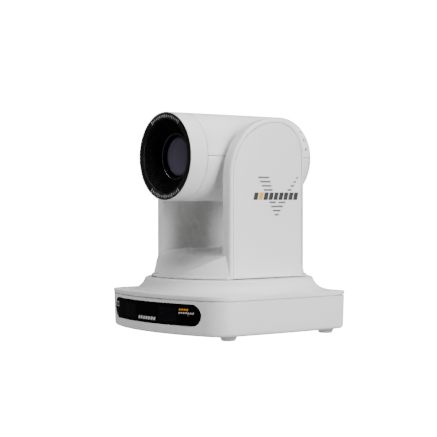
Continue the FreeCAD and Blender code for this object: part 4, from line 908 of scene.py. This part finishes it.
class UNIT_OT_arms(bpy.types.Operator):
    """Build the two arms, their side covers, the grey sheets of painted shade behind the slots and the dashes
    """
    bl_idname = "unit.arms"
    bl_label = "Arms"

    def execute(self, context):
        own = sizes()
        inner, outer = low("right_arm_shell").x, high("right_arm_shell").x
        cover_inset, ledge, depth = 3.0, 5.4, 2.3
        bottom = low("right_arm_shell").z
        axis_z = middle("tilt_bearings")[2]
        _, motor_y, motor_z = middle("tilt_motor")
        bearing_radius, motor_shaft, dash_low, dash_high, dash_pitch = 8, 3, 101.2, 107.0, 5.05
        for word, mirrored in (("right", False), ("left", True)):
            rings = [(0.9, inner), (0.42, inner + 0.12), (0.12, inner + 0.42), (0, inner + 0.9)]
            rings += [(inward, outer - own.arm_edge + out) for inward, out in quarter(own.arm_edge, 7)]
            rings += [(cover_inset - 0.15, outer), (cover_inset, outer - 0.15), (cover_inset, outer - depth),
                      (ledge, outer - depth), (ledge, inner + 2.2)]
            shell = arm_solid(rings)
            shell = combine(shell, ("DIFFERENCE", rod(bearing_radius, 30, 44, (0, 0, axis_z), "x")))
            if not mirrored:
                motor = rod(motor_shaft, 30, 44, (0, motor_y, motor_z), "x")
                shell = combine(shell, ("DIFFERENCE", motor))
            cover_rings = [(cover_inset + own.groove, outer - 2, bottom + 0.3)]
            cover_rings += [(cover_inset + own.groove + inward, outer - 0.4 + out, bottom + 0.3)
                            for inward, out in quarter(0.4, 3)]
            cover = combine(arm_solid(cover_rings),
                            ("DIFFERENCE", block(outer - 3, outer - 1, -16, 35, 84, 124)),
                            ("DIFFERENCE", vent_slots(outer - 3, outer + 1)))
            # Grey sheet just behind the slots: painted shade for the slot bottoms.
            painted_shade_sheet = block(outer - 1.75, outer - 1.02, -15, 34, 85, 123)
            dashes, amber = [], []
            for number in range(9):
                y = -14.5 + dash_pitch * number
                corners = [(y, dash_low), (y + 4.2, dash_low), (y + 5.7, dash_high), (y + 1.5, dash_high)]
                (amber if number == 1 else dashes).append(prism(corners, outer - 0.05, outer + 0.06, "YZ"))
            pieces = [(shell, f"{word}_arm", moulded_white_abs(), "white_shell", f"{word}_arm_shell"),
                      (cover, f"{word}_side_cover", moulded_white_abs(), "white_shell", f"{word}_arm_cover"),
                      (painted_shade_sheet, f"{word}_slot_shade_backing", painted_slot_shade(), "rubber", None),
                      (join_meshes(*dashes), f"{word}_dashes", printed_dark(), "socket_black", None),
                      (join_meshes(*amber), f"{word}_amber_dash", printed_amber(), "light_pipe", None)]
            for bm, name, material, slot, node in pieces:
                nodes = [node] if node else []
                finish_piece(other_side(bm) if mirrored else bm, name, "yoke", material, slot, *nodes)
        return {"FINISHED"}


# ------------------------------------------------------------------------------------------- head

def head_axis():
    """Height of the tilt axis."""
    return high("head_lower_shell").z


def dome_profile(inset, front):
    """Half section of the head from the front edge to the pole of the dome, as (radius, place along Y)."""
    own = sizes()
    radius = high("head_upper_shell").x
    rear = high("head_upper_shell").y - own.dome
    points = [(radius - inset, front)]
    for n in range(25):
        angle = math.radians(90 * n / 24)
        points.append(((radius - inset) * math.cos(angle), rear + (own.dome - inset) * math.sin(angle)))
    return points


class UNIT_OT_head_shells(bpy.types.Operator):
    """Build the upper and lower shells of the head and the bezel"""
    bl_idname = "unit.head_shells"
    bl_label = "Head shells"

    def execute(self, context):
        own = sizes()
        front = low("head_upper_shell").y
        axis_z, radius = head_axis(), high("head_upper_shell").x
        rear = high("head_upper_shell").y - own.dome
        shaft_hole, sound_hole, hole_pitch = 9.2, 1.1, 13
        outer, inner = dome_profile(0, front), dome_profile(own.head_wall, front)
        profile = outer + inner[::-1]
        for word, start in (("upper", 180), ("lower", 0)):
            shell = turned(profile, (0, 0, 0), "z", 180, start)
            turn_about(shell, -90, "X")
            bmesh.ops.translate(shell, verts=shell.verts, vec=(0, 0, axis_z))
            seam = block(-50, 50, -80, 80, axis_z - own.seam, axis_z + own.seam)
            shell = combine(shell, ("DIFFERENCE", seam))
            round_sharp(shell, 0.28, 2, 50)
            shell = combine(shell, ("DIFFERENCE", rod(shaft_hole, -60, 60, (0, 0, axis_z), "x")))
            if word == "upper":
                holes = []
                for number in range(13):
                    hole = rod(sound_hole, 20, 60)
                    turn_about(hole, hole_pitch * (number - 6), "Y")
                    bmesh.ops.translate(hole, verts=hole.verts, vec=(0, rear + 1.5, axis_z))
                    holes.append(hole)
                shell = combine(shell, ("DIFFERENCE", join_meshes(*holes)))
            finish_piece(shell, f"{word}_head_shell", "head", moulded_white_abs(), "white_shell",
                         f"head_{word}_shell")
        face, back = low("front_bezel").y, high("front_bezel").y
        rim, wall, seat = 0.8, own.head_wall, 1.6
        back -= 2 * own.seam
        bezel = turned([(radius, face), (radius, back), (radius - wall, back), (radius - wall, face + seat),
                        (radius - rim, face + seat), (radius - rim, face)], (0, 0, axis_z), "y")
        round_sharp(bezel, 0.28, 3, 50)
        finish_piece(bezel, "bezel", "head", moulded_white_abs(), "white_shell", "front_bezel")
        return {"FINISHED"}


class UNIT_OT_lens(bpy.types.Operator):
    """Build the black ring, the hood with its baffles, the bright ring and the front glass"""
    bl_idname = "unit.lens"
    bl_label = "Lens"

    def execute(self, context):
        axis = (0, 0, head_axis())
        ring_low, ring_high = low("lens_face_ring"), high("lens_face_ring")
        mouth, throat, tick_pitch, tick_half = 28.6, 18.2, 4.2, 0.36
        ring = turned([(mouth, ring_low.y), (ring_high.x, ring_low.y), (ring_high.x, ring_high.y),
                       (mouth, ring_high.y)], axis, "y")
        round_sharp(ring, 0.25, 2, 50)
        finish_piece(ring, "face_ring", "head", matt_black_nylon(), "lens_black", "lens_face_ring")
        ticks = []
        tick_radius = (mouth + ring_high.x) / 2
        for side in (0, 180):
            for number in range(17):
                turn = side + tick_pitch * (number - 8)
                tall = 0.9 if number % 4 else 1.4
                tick = block(-tick_half, tick_half, ring_low.y - 0.03, ring_low.y + 0.1,
                             tick_radius - tall, tick_radius + tall)
                turn_about(tick, turn, "Y")
                bmesh.ops.translate(tick, verts=tick.verts, vec=axis)
                ticks.append(tick)
        finish_piece(join_meshes(*ticks), "ring_ticks", "head", printed_grey(), "lens_black")

        front, back = low("lens_hood").y, high("lens_hood").y
        steps, wall = 10, 1.0
        run, fall = (back - front) / steps, (mouth - throat) / steps
        inside = []
        for number in range(steps):
            inside += [(mouth - fall * number, front + run * number),
                       (mouth - fall * number - 0.1, front + run * (number + 0.75)),
                       (mouth - fall * (number + 1) - 0.25, front + run * (number + 0.85))]
        inside.append((throat, back))
        hood = turned([(mouth + wall, front)] + inside + [(throat + wall, back)], axis, "y")
        finish_piece(hood, "hood", "head", anti_glare_paint(), "lens_black", "lens_hood")

        ring_low, ring_high = low("lens_bright_ring"), high("lens_bright_ring")
        hole, bead = 16.6, 17.5
        bright = turned([(bead, ring_low.y + 0.1), (bead + 0.15, ring_low.y - 0.25),
                         (throat - 0.2, ring_low.y - 0.3),
                         (throat, ring_low.y), (ring_high.x, ring_low.y), (ring_high.x, ring_high.y),
                         (bead, ring_high.y)], axis, "y")
        round_sharp(bright, 0.12, 2, 30)
        finish_piece(bright, "bright_ring", "head", polished_aluminium(), "bright_ring", "lens_bright_ring")
        seat = turned([(hole, ring_low.y + 0.5), (bead - 0.02, ring_low.y + 0.2), (bead - 0.02, ring_high.y),
                       (hole, ring_high.y)], axis, "y")
        finish_piece(seat, "glass_seat", "head", matt_black_nylon(), "lens_black")

        glass_low, glass_high = low("front_glass"), high("front_glass")
        curve, edge = 40.0, glass_high.x
        centre_y = glass_low.y + curve
        points = []
        for n in range(21):
            reach = edge * n / 20
            points.append((reach, centre_y - math.sqrt(curve ** 2 - reach ** 2)))
        glass = turned(points + [(edge, glass_high.y), (0, glass_high.y)], axis, "y")
        finish_piece(glass, "front_element", "head", coated_glass_painted_reflection(), "lens_glass", "front_glass")
        return {"FINISHED"}


# ---------------------------------------------------------------------------------- rear sockets

class UNIT_OT_sockets(bpy.types.Operator):
    """Put contacts, tongues and pins in the rear sockets"""
    bl_idname = "unit.sockets"
    bl_label = "Socket details"

    def execute(self, context):
        gold, dark = [], []
        lan_high, lan_pitch, lan_half = high("lan_socket"), 1.02, 0.18
        for number in range(8):
            x = middle("lan_socket")[0] + lan_pitch * (number - 3.5)
            gold.append(block(x - lan_half, x + lan_half, lan_high.y - 8, lan_high.y - 1.2, lan_high.z - 4.2,
                              lan_high.z - 3.8))
        for name, half, lift, thick in (("usb_socket", 3.6, 5.2, 1.9), ("hdmi_socket", 5.4, 3.7, 0.9)):
            node_high, centre, z = high(name), middle(name)[0], low(name).z + lift
            dark.append(block(centre - half, centre + half, node_high.y - 8.9, node_high.y - 1.5,
                              z - thick / 2, z + thick / 2))
            for number in range(4):
                x = centre + (number - 1.5) * half / 2.3
                gold.append(block(x - 0.4, x + 0.4, node_high.y - 8, node_high.y - 2, z + thick / 2,
                                  z + thick / 2 + 0.1))
        pins = {"dc_jack": [(0, 0, 1.0)], "sdi_socket": [(0, 0, 0.7)]}
        ring_radius, pin_radius = 2.4, 0.45
        ring = [(ring_radius * math.cos(math.radians(a)), ring_radius * math.sin(math.radians(a)), pin_radius)
                for a in (20, 70, 110, 160, 200, 245, 295, 340)]
        pins["serial_in_socket"] = pins["serial_out_socket"] = ring
        for name, places in pins.items():
            node_low, node_high = low(name), high(name)
            x = middle(name)[0]
            z = node_high.z - (node_high.x - node_low.x) / 2
            for dx, dz, radius in places:
                gold.append(turned([(0, 0), (radius, 0), (radius, 6.4), (radius * 0.6, 6.9), (0, 6.9)],
                                   (x + dx, node_high.y - 8.1, z + dz), "y"))
        finish_piece(join_meshes(*gold), "socket_contacts", "base", gold_contact(), "brass")
        finish_piece(join_meshes(*dark), "socket_tongues", "base", black_socket_nylon(), "socket_black")
        node_low, node_high = low("sdi_socket"), high("sdi_socket")
        x, lug_reach, lug_half = middle("sdi_socket")[0], 0.9, 0.8
        radius = (node_high.x - node_low.x) / 2
        z = node_high.z - radius
        lugs = block(x - radius - lug_reach, x + radius + lug_reach, node_high.y - 4.5, node_high.y - 3,
                     z - lug_half, z + lug_half)
        core = rod(radius - 0.2, -20, 20, (x, node_high.y - 4, z), "y")
        lugs = combine(lugs, ("DIFFERENCE", core))
        finish_piece(lugs, "bayonet_lugs", "base", nickel_plate(), "socket_metal")
        return {"FINISHED"}


class UNIT_OT_finishes(bpy.types.Operator):
    """Give every CAD node that stays its finish"""
    bl_idname = "unit.finishes"
    bl_label = "Finishes"

    def execute(self, context):
        makers = {
            "white_shell": moulded_white_abs, "smoked_window": smoked_polycarbonate,
            "receiver_window": infrared_window, "light_pipe": amber_light_pipe, "rubber": black_rubber,
            "plated_steel": zinc_plated_steel, "brass": turned_brass, "board_green": solder_mask,
            "socket_metal": nickel_plate, "socket_black": black_socket_nylon, "switch_white": printed_white,
            "pulley_aluminium": turned_aluminium, "motor_black": black_motor_coat,
            "lens_black": matt_black_nylon, "bright_ring": polished_aluminium, "lens_glass": coated_glass_painted_reflection,
        }
        for part in frame["record"]["subparts"]:
            dress(part["node"], makers[part["material_slot"]]())
        return {"FINISHED"}


# ------------------------------------------------------------------------------------------ stage

def lamp(name, place, aim, power, width, height):
    """A soft rectangular lamp that faces the aim point."""
    data = bpy.data.lights.new(name, "AREA")
    data.shape = "RECTANGLE"
    data.size, data.size_y, data.energy = width, height, power
    obj = bpy.data.objects.new(name, data)
    obj.location = place
    obj.rotation_euler = (Vector(aim) - Vector(place)).to_track_quat("-Z", "Y").to_euler()
    bpy.context.scene.collection.objects.link(obj)
    return obj


def glowing(name, colour, glow, roughness=0.9):
    """Plain pale stage surface that also gives a little light of its own."""
    material, shader = new_material(name)
    if shader is not None:
        shader.inputs["Base Color"].default_value = linear(colour)
        shader.inputs["Roughness"].default_value = roughness
        shader.inputs["Emission Color"].default_value = (1, 1, 1, 1)
        shader.inputs["Emission Strength"].default_value = glow
    return material


class UNIT_OT_stage(bpy.types.Operator):
    """Set up the pale floor, the pale surround, the soft lamps and the camera"""
    bl_idname = "unit.stage"
    bl_label = "Stage"

    def execute(self, context):
        own = context.scene.unit_stage
        floor_z = CAD_BOX[0][2]
        bm = bmesh.new()
        bmesh.ops.create_grid(bm, x_segments=8, y_segments=8, size=12)
        bmesh.ops.translate(bm, vec=(0, 0, floor_z), verts=bm.verts)
        floor = to_object(bm, "floor")
        floor.data.materials.append(glowing("pale_floor", "#F4F4F4", own.glow))
        bm = bmesh.new()
        bmesh.ops.create_uvsphere(bm, u_segments=48, v_segments=24, radius=11)
        bmesh.ops.reverse_faces(bm, faces=bm.faces)
        surround = to_object(bm, "surround")
        surround.data.materials.append(glowing("pale_surround", "#000000", own.glow))
        for backdrop in (floor, surround):
            backdrop.visible_diffuse = False
            backdrop.visible_glossy = False
            backdrop.visible_shadow = False
        world = bpy.data.worlds.new("soft_room")
        world.use_nodes = True
        room = world.node_tree.nodes["Background"]
        room.inputs["Color"].default_value = (1, 1, 1, 1)
        room.inputs["Strength"].default_value = own.sky
        context.scene.world = world
        aim = (0, 0, 0.08)
        lamp("side_lamp", (2.2, 0.2, 0.5), aim, own.side, 1.4, 1.4)
        lamp("top_lamp", (0, 0.1, 2.2), aim, own.top, 1.6, 1.6)
        fill = lamp("front_lamp", (-1.1, -1.6, -0.7), aim, own.front, 1.2, 1.2)
        fill.visible_glossy = False
        azimuth, elevation = math.radians(own.azimuth), math.radians(own.elevation)
        back = Vector((math.sin(azimuth) * math.cos(elevation), -math.cos(azimuth) * math.cos(elevation),
                       math.sin(elevation)))
        right = Vector((math.cos(azimuth), math.sin(azimuth), 0))
        aim = right * own.aim_right + Vector((0, 0, own.aim_up))
        data = bpy.data.cameras.new("view")
        data.lens, data.sensor_width = own.lens, 36
        view = bpy.data.objects.new("view", data)
        view.location = aim + back * own.distance
        view.rotation_euler = back.to_track_quat("Z", "Y").to_euler()
        context.scene.collection.objects.link(view)
        context.scene.camera = view
        return {"FINISHED"}


class UNIT_PT_panel(bpy.types.Panel):
    """Lists the build steps"""
    bl_idname = "UNIT_PT_panel"
    bl_label = "Camera Unit"
    bl_space_type = "VIEW_3D"
    bl_region_type = "UI"
    bl_category = "Camera Unit"

    def draw(self, context):
        for step in STEPS:
            self.layout.operator(step.bl_idname)
        for name in GROUPS:
            group = getattr(context.scene, name)
            for key in group.__annotations__:
                self.layout.prop(group, key)


STEPS = (UNIT_OT_stage, UNIT_OT_finishes, UNIT_OT_base, UNIT_OT_strip, UNIT_OT_feet, UNIT_OT_turntable,
         UNIT_OT_arms, UNIT_OT_head_shells, UNIT_OT_lens, UNIT_OT_sockets)


def register():
    for group in GROUPS.values():
        bpy.utils.register_class(group)
    for name, group in GROUPS.items():
        setattr(bpy.types.Scene, name, PointerProperty(type=group))
    for step in STEPS:
        bpy.utils.register_class(step)
    bpy.utils.register_class(UNIT_PT_panel)


def unregister():
    bpy.utils.unregister_class(UNIT_PT_panel)
    for step in reversed(STEPS):
        bpy.utils.unregister_class(step)
    for name, group in reversed(GROUPS.items()):
        delattr(bpy.types.Scene, name)
        bpy.utils.unregister_class(group)


def main():
    register()
    bpy.ops.unit.stage()
    bpy.ops.unit.finishes()
    bpy.ops.unit.base()
    bpy.ops.unit.strip()
    bpy.ops.unit.feet()
    bpy.ops.unit.turntable()
    bpy.ops.unit.arms()
    bpy.ops.unit.head_shells()
    bpy.ops.unit.lens()
    bpy.ops.unit.sockets()


if __name__ == "__main__":
    main()
